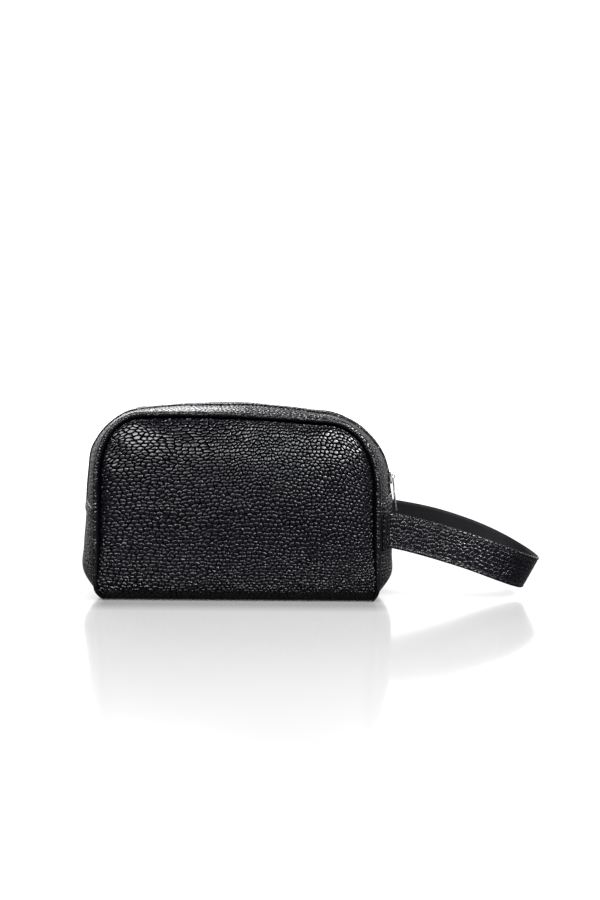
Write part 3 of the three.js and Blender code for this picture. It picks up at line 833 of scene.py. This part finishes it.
COIL_PITCH = 1.4
COIL_SIDES = 6
COIL_TURN_POINTS = 12
COIL_WIRE = 0.36           # radius of the wire in mm


def make_coil(part, s_from, s_to, end, side):
    """One half of the zip: a nylon coil whose turns reach past the middle, between the other half's."""
    low, high = sorted((crest_run(s_from), crest_run(s_to)))
    count = int((high - low) / COIL_PITCH) * COIL_TURN_POINTS
    along = np.linspace(low, high, count)
    s = run_station(along)
    phase = 2 * np.pi * along / COIL_PITCH + (0 if side < 0 else np.pi)
    reach = 1.35 + 1.65 * np.cos(phase)
    lift = -0.45 + 0.95 * np.sin(phase)
    centre = crest_line(s)
    ahead = unit(crest_line(s + 0.02) - crest_line(s - 0.02))
    up = np.stack([-ahead[:, 1], np.zeros(count), ahead[:, 0]], -1)
    path = np.stack([centre[:, 0], side * reach, centre[:, 1]], -1) + up * (lift - 0.35)[:, None]
    tangent = unit(np.gradient(path, axis=0))
    flat = unit(np.cross(tangent, up))
    tube = path[:, None] + ring_around(flat, np.cross(flat, tangent), COIL_SIDES) * COIL_WIRE
    obj = mesh_from(f"coil_{end}_{part}", tube.reshape(-1, 3), grid_faces(count, COIL_SIDES, True))
    dress(obj, NYLON)
    bend_over(obj, part)
    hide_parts(f"{part}_coil_{end}", f"lip_coil_{end}")


# ---- piping ----
FLANGE_REACH, FLANGE_THICKNESS = 6.6, 0.6


def piping_route(side, inset):
    """Middle line of a piping, with its outward and sideways directions and its running length."""
    s = np.linspace(0.08 + inset, LAST - 0.1 - inset, 900)
    seam = seam_line(s)
    y = side * (half_depth(seam[:, 1]) - base_inset(seam[:, 1]))
    centre = round_corners(np.stack([seam[:, 0], y, seam[:, 1]], -1))
    centre[:, 0] -= np.sign(centre[:, 0]) * 1.4 * (1 - smoothstep(seam[:, 1], 1, 9))
    ahead = unit(np.gradient(centre, axis=0))
    sideways = np.array([0, side, 0.0])
    out = unit(sideways - ahead * (ahead @ sideways)[:, None])
    return centre, out, np.cross(ahead, out), running_length(centre)


def tube_mesh(name, centre, out, third, radius):
    """A closed tube: radius has a row for each point along it and a column for each side."""
    sides = radius.shape[1]
    points = (centre[:, None] + radius[..., None] * ring_around(out, third, sides)).reshape(-1, 3)
    count = len(centre) * sides
    points = np.concatenate([points, centre[:1], centre[-1:]])
    j = np.arange(sides)
    ahead = (j + 1) % sides
    start = np.stack([np.full(sides, count), ahead, j, j], -1)
    last = count - sides
    end = np.stack([np.full(sides, count + 1), last + j, last + ahead, last + ahead], -1)
    obj = mesh_from(name, points, grid_faces(len(centre), sides, True)[:, ::-1])
    caps = mesh_from(name + "_caps", points, np.concatenate([start, end])[:, :3])
    return join([obj, caps], name)


def piping_flange(name, centre, out, third, side):
    """The piping's seam allowance: a flat band that runs in from the cord under the edge of the face."""
    inward = (-out - side * third) / math.sqrt(2)
    across = (out - side * third) / math.sqrt(2) * FLANGE_THICKNESS / 2
    tip = centre + inward * (FLANGE_REACH * seam_inset(centre[:, 2], 1.0))[:, None]
    ring = np.stack([centre - across, centre + across, tip + across, tip - across], 1)
    last = 4 * (len(centre) - 1)
    ends = [[0, 1, 2, 3], [last + 3, last + 2, last + 1, last]]
    faces = np.concatenate([grid_faces(len(centre), 4, True), ends])
    return mesh_from(name, ring.reshape(-1, 3), faces)


def make_piping(end, side):
    """Leather folded round a cord and caught in the seam; it thins out where it runs under the base."""
    centre, out, third, run = piping_route(side, 0)
    sides = 26
    size = lerp(1.3, PIPING_RADIUS - 0.2, smoothstep(centre[:, 2], 10, 34))
    size = np.minimum(size, 0.35 + 0.6 * centre[:, 2])
    size = size * (1 + 0.035 * soft_noise(run / 9, run * 0, 80 + side))
    a, b = grid(run, np.arange(sides) * 2 * np.pi / sides * PIPING_RADIUS)
    grain = pebbles(a, b, 2.0, 1.2, 90 + side)
    obj = tube_mesh(f"piping_{end}", centre, out, third, size[:, None] + 0.26 * (grain - 0.6))
    obj = join([obj, piping_flange(f"piping_flange_{end}", centre, out, third, side)], f"piping_{end}")
    set_value(obj, "grain", np.concatenate([grain.ravel(), [0.3] * (len(obj.data.vertices) - grain.size)]))
    dress(obj, PIPING_LEATHER)
    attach(obj, "bag")
    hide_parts(f"piping_cover_{end}")
    centre, out, third, run = piping_route(side, 0.15)
    twist = 0.06 * np.sin(2 * np.pi * (run[:, None] / 2.4 + 3 * np.arange(10)[None] / 10))
    cord = tube_mesh(f"filler_cord_{end}", centre, out, third, 0.8 + twist)
    dress(cord, COTTON)
    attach(cord, "bag")
    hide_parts(f"piping_cord_{end}")


# ---- wrist strap ----
def strap_along(x):
    return np.maximum(0, (x - STRAP_ROOT_X) / STRAP_REACH)


def strap_height(x):
    f = strap_along(x)
    late = f ** (1 + STRAP_SAG) / (1 + STRAP_SAG)
    return STRAP_ROOT_Z - STRAP_REACH * (STRAP_SLOPE[0] * f + STRAP_SLOPE[1] * late)


def strap_tilt(x):
    f = strap_along(x)
    return np.arctan((STRAP_SLOPE[0] + STRAP_SLOPE[1] * f ** STRAP_SAG) * smoothstep(x, 103, 114))


def side_x(y):
    """Where the right side's face lies at the strap's height."""
    s = RIGHT_CORNER + SIDE_STEPS * (1 - STRAP_ROOT_Z / RIGHT_SEAM[1])
    half = half_depth(np.array(STRAP_ROOT_Z))
    return gusset_points(np.array(s), np.array(y / half))[0]


def strap_route():
    """The strap's middle line seen from above: sewn end, bend, leg, half-round end, and back."""
    lay = 1.6
    points = [(side_x(y) + lay, y) for y in (-38.6, -36.0, -33.5)]
    root_x = side_x(-31.0) + lay
    points += [(root_x + 0.25, -31.9), (root_x + 1.3, -30.7), (root_x + 3.4, -30.2), (root_x + 7.0, -30.4)]
    bend_x = STRAP_ROOT_X + STRAP_REACH - STRAP_HALF_GAP
    for x in np.linspace(root_x + 12, bend_x, 9):
        widened = smoothstep(x, STRAP_ROOT_X, STRAP_ROOT_X + 45)
        points.append((x, -lerp(STRAP_ROOT_HALF_GAP, STRAP_HALF_GAP, widened)))
    for turn in np.linspace(0, math.pi / 2, 10)[1:]:
        points.append((bend_x + STRAP_HALF_GAP * math.sin(turn), -STRAP_HALF_GAP * math.cos(turn)))
    points += [(x, -y) for x, y in points[-2::-1]]
    p = with_ends(points)
    t = np.linspace(0, 1, 24, endpoint=False)[:, None]
    pieces = [smooth_between(*p[i:i + 4], t) for i in range(len(p) - 3)]
    dense = np.vstack([*pieces, p[-2:-1]])
    return running_length(dense), dense


STRAP_RUN, STRAP_PLAN = strap_route()
STRAP_STITCH_INSET = 2.3   # mm from the strap's edge to its stitching


def strap_frame(run):
    """Middle line, outward direction and width direction of the strap at running lengths."""
    at = lambda r: np.stack([np.interp(r, STRAP_RUN, STRAP_PLAN[:, k]) for k in (0, 1)], -1)
    xy = at(run)
    ahead = unit(at(run + 0.4) - at(run - 0.4))
    tilt = strap_tilt(xy[..., 0])
    centre = np.stack([xy[..., 0], xy[..., 1], strap_height(xy[..., 0]) + STRAP_ROLL * xy[..., 1]], -1)
    wide = np.stack([np.sin(tilt), np.zeros_like(tilt), np.cos(tilt)], -1)
    slope = -np.tan(tilt) * ahead[..., 0]
    along = np.stack([ahead[..., 0], ahead[..., 1], slope], -1)
    return centre, unit(np.cross(along, wide)), wide


def strap_sway(run, reach):
    return 0.35 * soft_noise(run / 34, reach / 30, 130)


def strap_band(name, inner, outer, cols, relief, material, nodes, edge_round):
    """One layer of the strap, from inner to outer in mm; with relief it has a stitch groove and a rim."""
    run = np.linspace(0, STRAP_RUN[-1], 620)
    centre, out, wide = strap_frame(run)
    reach = np.linspace(-1, 1, cols) * STRAP_HALF_WIDTH
    from_edge = STRAP_HALF_WIDTH - np.abs(reach)
    rounding = edge_round * (1 - np.sqrt(np.clip(1 - (1 - np.clip(from_edge / edge_round, 0, 1)) ** 2, 0, 1)))
    sewn = 1.0 if relief else 0.0
    groove = sewn * 0.32 * np.exp(-((from_edge - STRAP_STITCH_INSET) / 0.5) ** 2)
    rim = sewn * 0.25 * smoothstep(from_edge, 0.2, 1.4) * (1 - smoothstep(from_edge, 1.6, 2.4))
    a, b = grid(run, reach)
    grain = pebbles(a, b, 2.7, 1.2, 120) if relief else np.full(a.shape, 0.6)
    sway = strap_sway(a, b)
    base = centre[:, None] + wide[:, None] * reach[None, :, None]
    high = outer - rounding - groove + rim + relief * (grain - 0.6)
    top = base + out[:, None] * (high + sway)[..., None]
    under = base + out[:, None] * (inner + sway)[..., None]
    rows = len(run)
    n = rows * cols
    faces = [grid_faces(rows, cols), grid_faces(rows, cols, offset=n)[:, ::-1]]
    border = border_loop(rows, cols)
    ahead = np.roll(border, -1)
    faces.append(np.stack([border, ahead, ahead + n, border + n], -1))
    obj = mesh_from(name, np.concatenate([top.reshape(-1, 3), under.reshape(-1, 3)]), np.concatenate(faces))
    set_value(obj, "grain", np.concatenate([grain.ravel(), np.full(n, 0.4)]))
    fix_normals(obj)
    dress(obj, material)
    bend_strap(obj)
    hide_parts(*nodes)


def fix_normals(obj):
    """Faces out, worked out from the closed shape itself."""
    bm = bmesh.new()
    bm.from_mesh(obj.data)
    bmesh.ops.recalc_face_normals(bm, faces=bm.faces)
    bm.to_mesh(obj.data)
    bm.free()
    obj.data.polygons.foreach_set("use_smooth", np.full(len(obj.data.polygons), True))


def bend_strap(obj):
    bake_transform(obj)


def make_strap():
    strap_band("strap_leather_band", 0.05, 1.25, 44, 0.24, LEATHER,
               ["strap_leather", "strap_end_front", "strap_end_rear"], 0.5)
    strap_band("strap_backing_band", -1.05, -0.02, 12, 0.0, STRAP_BACK,
               ["strap_backing"], 0.4)


# ---- stitches ----
def capsule_template(sides=6):
    """A stitch of length 1 along X and thickness 1, rounded at both ends."""
    profile = [(-0.5, 0.12), (-0.44, 0.34), (-0.3, 0.5), (0.3, 0.5), (0.44, 0.34), (0.5, 0.12)]
    angles = [2 * math.pi * i / sides for i in range(sides)]
    points = [(x, r * math.cos(angle), r * math.sin(angle)) for x, r in profile for angle in angles]
    return np.array(points), np.roll(grid_faces(len(profile), sides, True)[:, ::-1], 1, axis=1)


def stitches(name, rows, thick=0.62):
    """rows: (start, end, outward) triples; each becomes one stitch lying on the surface."""
    shape, quads = capsule_template()
    points, faces = [], []
    for start, end, out in rows:
        middle = (start + end) / 2
        ahead = end - start
        size = np.linalg.norm(ahead)
        ahead = ahead / size
        across = unit(np.cross(out, ahead))
        lift = np.cross(ahead, across)
        local = (shape[:, :1] * size * ahead + shape[:, 1:2] * thick * across
                 + shape[:, 2:] * thick * lift * 0.75)
        faces.append(quads + len(points) * len(shape))
        points.append(middle + local)
    return mesh_from(name, np.concatenate(points), np.concatenate(faces))


def strap_stitches():
    """A row along each edge, and two short rows across each sewn end."""
    total = STRAP_RUN[-1]
    pitch, long, first, second = 3.9, 2.9, 2.4, 7.4
    rows = []
    for edge in (-1, 1):
        reach = edge * (STRAP_HALF_WIDTH - STRAP_STITCH_INSET)
        for i in range(int((total - 4) / pitch)):
            r = first + i * pitch
            c, o, w = strap_frame(np.array([r, r + long]))
            lift = 1.02 + strap_sway(np.array([r]), np.array([reach]))[0]
            p = c + w * reach + o * lift
            rows.append((p[0], p[1], o[0]))
    half = STRAP_HALF_WIDTH - 2.9
    count, lift = 5, 1.1
    for r in (first, total - first, second, total - second):
        c, o, w = strap_frame(np.array([r]))
        for i in range(count):
            ends = [c[0] + w[0] * lerp(-half, half, (i + f) / count) + o[0] * lift for f in (0.12, 0.88)]
            rows.append((*ends, o[0]))
    obj = stitches("strap_stitches", rows)
    dress(obj, THREAD)
    bend_strap(obj)


def strip_stitches(part, s_from, s_to, end, side):
    rows = []
    pitch, long = 3.6, 2.7
    low, high = sorted((crest_run(s_from), crest_run(s_to)))
    for i in range(math.ceil((low + 1) / pitch), int((high - 0.5) / pitch) + (part == "left")):
        s = run_station(np.array([i * pitch, i * pitch + long]))
        w = side * (ZIP_OPENING + 2.2) / gusset_half(s)
        n = gusset_normals(s, w)
        p = gusset_points(s, w) + n * (0.72 + strip_sway(s, w, side))[:, None]
        rows.append((p[0], p[1], n[0]))
    obj = stitches(f"zip_stitches_{end}_{part}", rows, thick=0.5)
    dress(obj, THREAD)
    bend_over(obj, part)


# ---- slider and pull ----
SLIDER_ANGLE = math.radians(7.5)
PULL_PIVOT_HEIGHT = 3.3
PULL_LEAN = math.radians(5.5)
SLIDER_OUT = Vector((math.cos(SLIDER_ANGLE), 0, math.sin(SLIDER_ANGLE)))
PULL_PIVOT = (Vector((ZIP_X, 0, ZIP_Z)) + SLIDER_OUT * (ZIP_RADIUS + PULL_PIVOT_HEIGHT)) * MM


def placed(obj, origin, x, y, z, body):
    turn = Matrix((x, y, z)).transposed().to_4x4()
    obj.matrix_world = Matrix.Translation(origin) @ turn
    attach(obj, body)


def plate(name, outline, low, high, bevel, segments=3, holes=()):
    """A flat plate from a closed outline, with rounded edges; outline and holes are lists of (x, y) in mm."""
    curve = bpy.data.curves.new(name, "CURVE")
    curve.dimensions = "2D"
    curve.fill_mode = "BOTH"
    for loop in (outline, *holes):
        spline = curve.splines.new("POLY")
        spline.points.add(len(loop) - 1)
        for point, (x, y) in zip(spline.points, loop):
            point.co = (x * MM, y * MM, 0, 1)
        spline.use_cyclic_u = True
    curve.extrude = ((high - low) / 2 - bevel) * MM
    curve.bevel_depth = bevel * MM
    curve.bevel_resolution = segments
    curve.offset = -bevel * MM
    source = add_object(name, curve)
    bpy.context.view_layer.update()
    mesh = bpy.data.meshes.new_from_object(source)
    bpy.data.objects.remove(source)
    mesh.transform(Matrix.Translation((0, 0, (low + high) / 2 * MM)))
    return add_object(name, mesh)


def rounded(points, radius, steps=6):
    """A polygon with its corners rounded."""
    result = []
    count = len(points)
    for i in range(count):
        here = Vector(points[i])
        back = (Vector(points[i - 1]) - here)
        ahead = (Vector(points[(i + 1) % count]) - here)
        reach = min(radius, back.length * 0.49, ahead.length * 0.49)
        start = here + back.normalized() * reach
        end = here + ahead.normalized() * reach
        for j in range(steps + 1):
            t = j / steps
            p = start.lerp(here, t).lerp(here.lerp(end, t), t)
            result.append((p.x, p.y))
    return result


def join(objects, name):
    bpy.ops.object.select_all(action="DESELECT")
    for obj in objects:
        obj.select_set(True)
    bpy.context.view_layer.objects.active = objects[0]
    bpy.ops.object.join()
    objects[0].name = name
    objects[0].data.name = name
    return objects[0]


def smooth_mesh(obj, angle=0.7):
    """Welds what doubles up, and shades round what turns gently."""
    bm = bmesh.new()
    bm.from_mesh(obj.data)
    bmesh.ops.remove_doubles(bm, verts=bm.verts, dist=1e-6)
    bmesh.ops.recalc_face_normals(bm, faces=bm.faces)
    for face in bm.faces:
        face.smooth = True
    for edge in bm.edges:
        edge.smooth = not edge.is_manifold or edge.calc_face_angle(0) < angle
    bm.to_mesh(obj.data)
    bm.free()


def make_slider():
    tangent = Vector((-math.sin(SLIDER_ANGLE), 0, math.cos(SLIDER_ANGLE)))
    origin = (Vector((ZIP_X, 0, ZIP_Z)) + SLIDER_OUT * ZIP_RADIUS) * MM
    shield = rounded([(-4.3, 5.2), (-4.5, 1.0), (-2.9, -5.2), (2.9, -5.2), (4.5, 1.0), (4.3, 5.2)], 1.6)
    top = plate("slider_top", shield, 0.8, 2.1, 0.35)
    bottom = plate("slider_bottom", shield, -4.1, -3.0, 0.3)
    wedge_shape = rounded([(-1.0, 4.6), (-0.35, 0.6), (0.35, 0.6), (1.0, 4.6)], 0.4)
    wedge = plate("slider_wedge", wedge_shape, -3.3, 1.2, 0.1)
    walls = []
    for side in (-1, 1):
        wall = [(side * 3.55, 4.4), (side * 3.75, 0.6), (side * 2.45, -4.6), (side * 2.95, -4.6),
                (side * 4.35, 0.8), (side * 4.15, 4.6)]
        walls.append(plate("slider_wall", rounded(wall, 0.3), -0.2, 1.2, 0.12))
    body = join([top, bottom, wedge, *walls], "slider")
    smooth_mesh(body)
    dress(body, METAL)
    placed(body, origin, Vector((0, -1, 0)), tangent, SLIDER_OUT, "slider")
    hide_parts("slider_body")
    angles = [math.pi * i / 24 for i in range(25)]
    arch = [(1.85 * math.cos(angle), 1.55 * math.sin(angle) + 0.1) for angle in angles]
    inner = [(x * 0.56, y * 0.56 - 0.05) for x, y in reversed(arch)]
    outline = [(2.0, -1.3), *arch, (-2.0, -1.3), (-1.1, -1.3), *inner, (1.1, -1.3)]
    bridge = plate("slider_arch", outline, -1.1, 1.1, 0.22)
    smooth_mesh(bridge)
    dress(bridge, METAL)
    placed(bridge, PULL_PIVOT, tangent, SLIDER_OUT, tangent.cross(SLIDER_OUT), "slider")
    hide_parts("slider_bridge")


def make_pull():
    shape = rounded([(-3.0, 0.7), (-3.0, -4.6), (-2.6, -7.0), (-3.6, -13.0), (-3.4, -24.6),
                     (3.4, -24.6), (3.6, -13.0), (2.6, -7.0), (3.0, -4.6), (3.0, 0.7)], 1.7)
    slot = rounded([(-1.7, -0.55), (1.7, -0.55), (1.7, -3.8), (-1.7, -3.8)], 0.7)
    pull = plate("pull", shape, -0.5, 0.5, 0.22, holes=[slot])
    smooth_mesh(pull)
    dress(pull, METAL)
    up = Vector((-math.sin(PULL_LEAN), 0, math.cos(PULL_LEAN)))
    placed(pull, PULL_PIVOT, Vector((0, 1, 0)), up, Vector((up.z, 0, -up.x)), "pull")
    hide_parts("pull_tab")


# ---- inside ----
def make_inside():
    rows = joined((0.02, 1, 40), (1, 2, 8), (2, 3, 8), (3, 4, 8), (4, 4.98, 40))
    v, u = grid(rows, np.linspace(0.012, 0.988, 60))
    points = wrap_points(v, u)
    folds = 0.5 * soft_noise(u * 7, v * 3, 200) + 0.25 * soft_noise(u * 17, v * 6, 201)
    to_seam = np.minimum(np.minimum(v, 5 - v) * FACE_HEIGHT, np.minimum(u, 1 - u) * FACE_WIDTH)
    points = points - grid_normals(points) * lerp(1.8, 5.6 + folds, smoothstep(to_seam, 1.5, 9.0))[..., None]
    lining = plain_sheet("lining_wrap", points, 0.4)
    dress(lining, CLOTH)
    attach(lining, "bag")
    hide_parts("lining_body")
    for name, (low, high) in (("left", (0.5, LEFT_HEM)), ("right", (RIGHT_HEM, LAST - 0.6))):
        s, w = grid(np.linspace(low, high, 30), np.linspace(-0.9, 0.9, 30))
        depth = 2.8 + 0.3 * soft_noise(s * 2, w * 4, 210)
        points = gusset_points(s, w) - gusset_normals(s, w) * depth[..., None]
        side = plain_sheet(f"lining_{name}", points, 0.4)
        dress(side, CLOTH)
        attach(side, "bag")
        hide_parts(f"side_lining_{name}")
    v, u = grid(np.linspace(4.2, 4.72, 30), np.linspace(0.2, 0.8, 50))
    points = wrap_points(v, u)
    gape = 1.6 * smoothstep(v, 4.55, 4.72) * np.sin(np.pi * (u - 0.2) / 0.6)
    hem = 0.35 * smoothstep(v, 4.67, 4.675)
    points = points - grid_normals(points) * (7.0 + gape + hem)[..., None]
    pocket = plain_sheet("slip_pocket_panel", points, 0.5)
    dress(pocket, CLOTH)
    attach(pocket, "bag")
    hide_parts("slip_pocket")
    for name, (low, high) in (("front", (0.08, 0.95)), ("rear", (4.05, 4.92))):
        points = wrap_points(*grid(np.linspace(low, high, 30), np.linspace(0.06, 0.94, 50)))
        pad = plain_sheet(f"foam_pad_{name}", points - grid_normals(points) * 1.9, 2.2)
        dress(pad, FOAM)
        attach(pad, "bag")
        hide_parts(f"foam_{name}")


def dress_frame():
    for node, material in (("base_board", BOARD), ("zip_stop_left", NYLON), ("zip_stop_right", NYLON)):
        for slot in frame["nodes"][node].material_slots:
            slot.material = material


# ---- stage ----
CAMERA_AZIMUTH, CAMERA_ELEVATION = math.radians(2.1), math.radians(6.5)
CAMERA_DISTANCE = 0.81
AIM = Vector((0.0, 0.0, 0.066))
LENS = 45.5
SHIFT = (0.0687, 0.0559)
LIGHT_AIM = Vector((0, 0, 0.06))
ROOM_LIGHT = 0.05
BACKDROP_LIGHT = 1.5
FRONT_SHARE = 0.25         # the backdrop is brightest behind the bag
BACKDROP_SIDES = 0.3       # how far round it dims, as a share of the way to straight in front or behind
BACKDROP_TOP = 0.26        # sine of the height where the white backdrop starts to fade
ROOM_START = 0.50          # and where the dim room above it starts
PAINTED_CONTACT_SHADOW_MM = 24.0        # mm over which the floor's seen glow is painted darker towards the base: a painted contact shadow
FLOOR_GLOW = (0.02, 0.28)  # for light that reaches the bag, and as the camera sees it near the bag
FLOOR_FADE = (0.45, 1.3)   # metres from the bag over which the seen floor fades into the white backdrop
FLOOR_SHINE = (0.1, 1.0)   # for light that reaches the bag, and as the camera sees it
FLOOR_TONES = ((0.02, 0.02, 0.02), (0.096, 0.096, 0.097))


def make_floor():
    bpy.ops.mesh.primitive_grid_add(x_subdivisions=2, y_subdivisions=2, size=8)
    floor = bpy.context.object
    floor.name = "floor"
    n = Nodes("glossy_floor")
    seen = n.add("ShaderNodeLightPath").outputs["Is Camera Ray"]
    n.shader.inputs["Emission Color"].default_value = (1, 1, 1, 1)
    past = [n.math("MAXIMUM", n.math("SUBTRACT", n.math("ABSOLUTE", place), half * MM))
            for place, half in zip(n.axes(n.place), (BASE_HALF_WIDTH - 8, DEPTH_LOW + 2))]
    away = n.math("SQRT", n.math("ADD", *[n.math("MULTIPLY", a, a) for a in past]))
    glow = n.ramp(away, *FLOOR_FADE, FLOOR_GLOW[1], 1.0)
    # Near the base the seen glow falls to nothing: a painted contact shadow on the floor.
    glow = n.math("MULTIPLY", glow, n.ramp(away, 0.0, PAINTED_CONTACT_SHADOW_MM * MM, 0.0, 1.0))
    glow = n.math("MAXIMUM", n.math("MULTIPLY", seen, glow), FLOOR_GLOW[0])
    n.link(glow, n.shader.inputs["Emission Strength"])
    n.link(n.ramp(seen, 0.0, 1.0, *FLOOR_SHINE), n.shader.inputs["Specular IOR Level"])
    floor.data.materials.append(n.finish(n.mix(seen, *FLOOR_TONES), 0.13))


def make_light(name, place, size, energy):
    data = bpy.data.lights.new(name, "AREA")
    data.energy = energy
    data.shape = "RECTANGLE"
    data.size, data.size_y = size
    light = add_object(name, data)
    light.location = place
    light.visible_camera = False
    light.rotation_euler = (LIGHT_AIM - Vector(place)).to_track_quat("-Z", "Y").to_euler()


def make_world():
    """A white backdrop low round a studio that is dim above it, and plain white to the camera."""
    n = Nodes("studio", "worlds", "Background")
    n.shader.inputs["Color"].default_value = (1, 1, 1, 1)
    _, y, z = n.axes(n.add("ShaderNodeTexCoord").outputs["Generated"])
    height = n.ramp(z, BACKDROP_TOP, ROOM_START, BACKDROP_LIGHT, ROOM_LIGHT, "SMOOTHSTEP")
    behind = n.ramp(y, -BACKDROP_SIDES, BACKDROP_SIDES, FRONT_SHARE, 1.0, "SMOOTHSTEP")
    seen = n.add("ShaderNodeLightPath").outputs["Is Camera Ray"]
    n.link(n.math("MAXIMUM", seen, n.math("MULTIPLY", height, behind)), n.shader.inputs["Strength"])
    bpy.context.scene.world = n.owner
    bpy.context.scene.view_settings.view_transform = "Standard"


def make_camera():
    data = bpy.data.cameras.new("camera")
    camera = add_object("camera", data)
    flat = math.cos(CAMERA_ELEVATION)
    offset = Vector((math.sin(CAMERA_AZIMUTH) * flat, -math.cos(CAMERA_AZIMUTH) * flat,
                     math.sin(CAMERA_ELEVATION)))
    camera.location = AIM + offset * CAMERA_DISTANCE
    camera.rotation_euler = (-offset).to_track_quat("-Z", "Y").to_euler()
    data.lens = LENS
    data.sensor_width = 36
    data.shift_x, data.shift_y = SHIFT
    bpy.context.scene.camera = camera


make_floor()
make_world()
make_light("rim_soft", (0.70, -0.75, 0.85), (0.27, 0.22), 66)
make_light("left_soft", (-0.70, -1.20, 0.90), (1.0, 0.6), 106)
make_light("right_soft", (0.55, -1.25, 0.88), (0.8, 0.45), 70)
make_light("back_soft", (-0.45, 1.0, 0.95), (0.9, 0.6), 34)
make_camera()
simulate_slack(FRONT_SEED, rear=False)
simulate_slack(REAR_SEED, rear=True)
make_wrap()
make_side("side_left", 0.05, LEFT_HEM, LEFT_HEM, ["side_panel_left"], 31)
make_side("side_right", RIGHT_HEM, LAST - 0.05, RIGHT_HEM, ["side_panel_right"], 33)
for end, side in (("front", -1), ("rear", 1)):
    make_piping(end, side)
    for part, s_from, s_to in halves():
        make_strip(part, s_from, s_to, end, side)
        make_tape(part, s_from, s_to, end, side)
        make_coil(part, s_from, s_to, end, side)
        strip_stitches(part, s_from, s_to, end, side)
make_strap()
strap_stitches()
make_slider()
make_pull()
make_inside()
dress_frame()
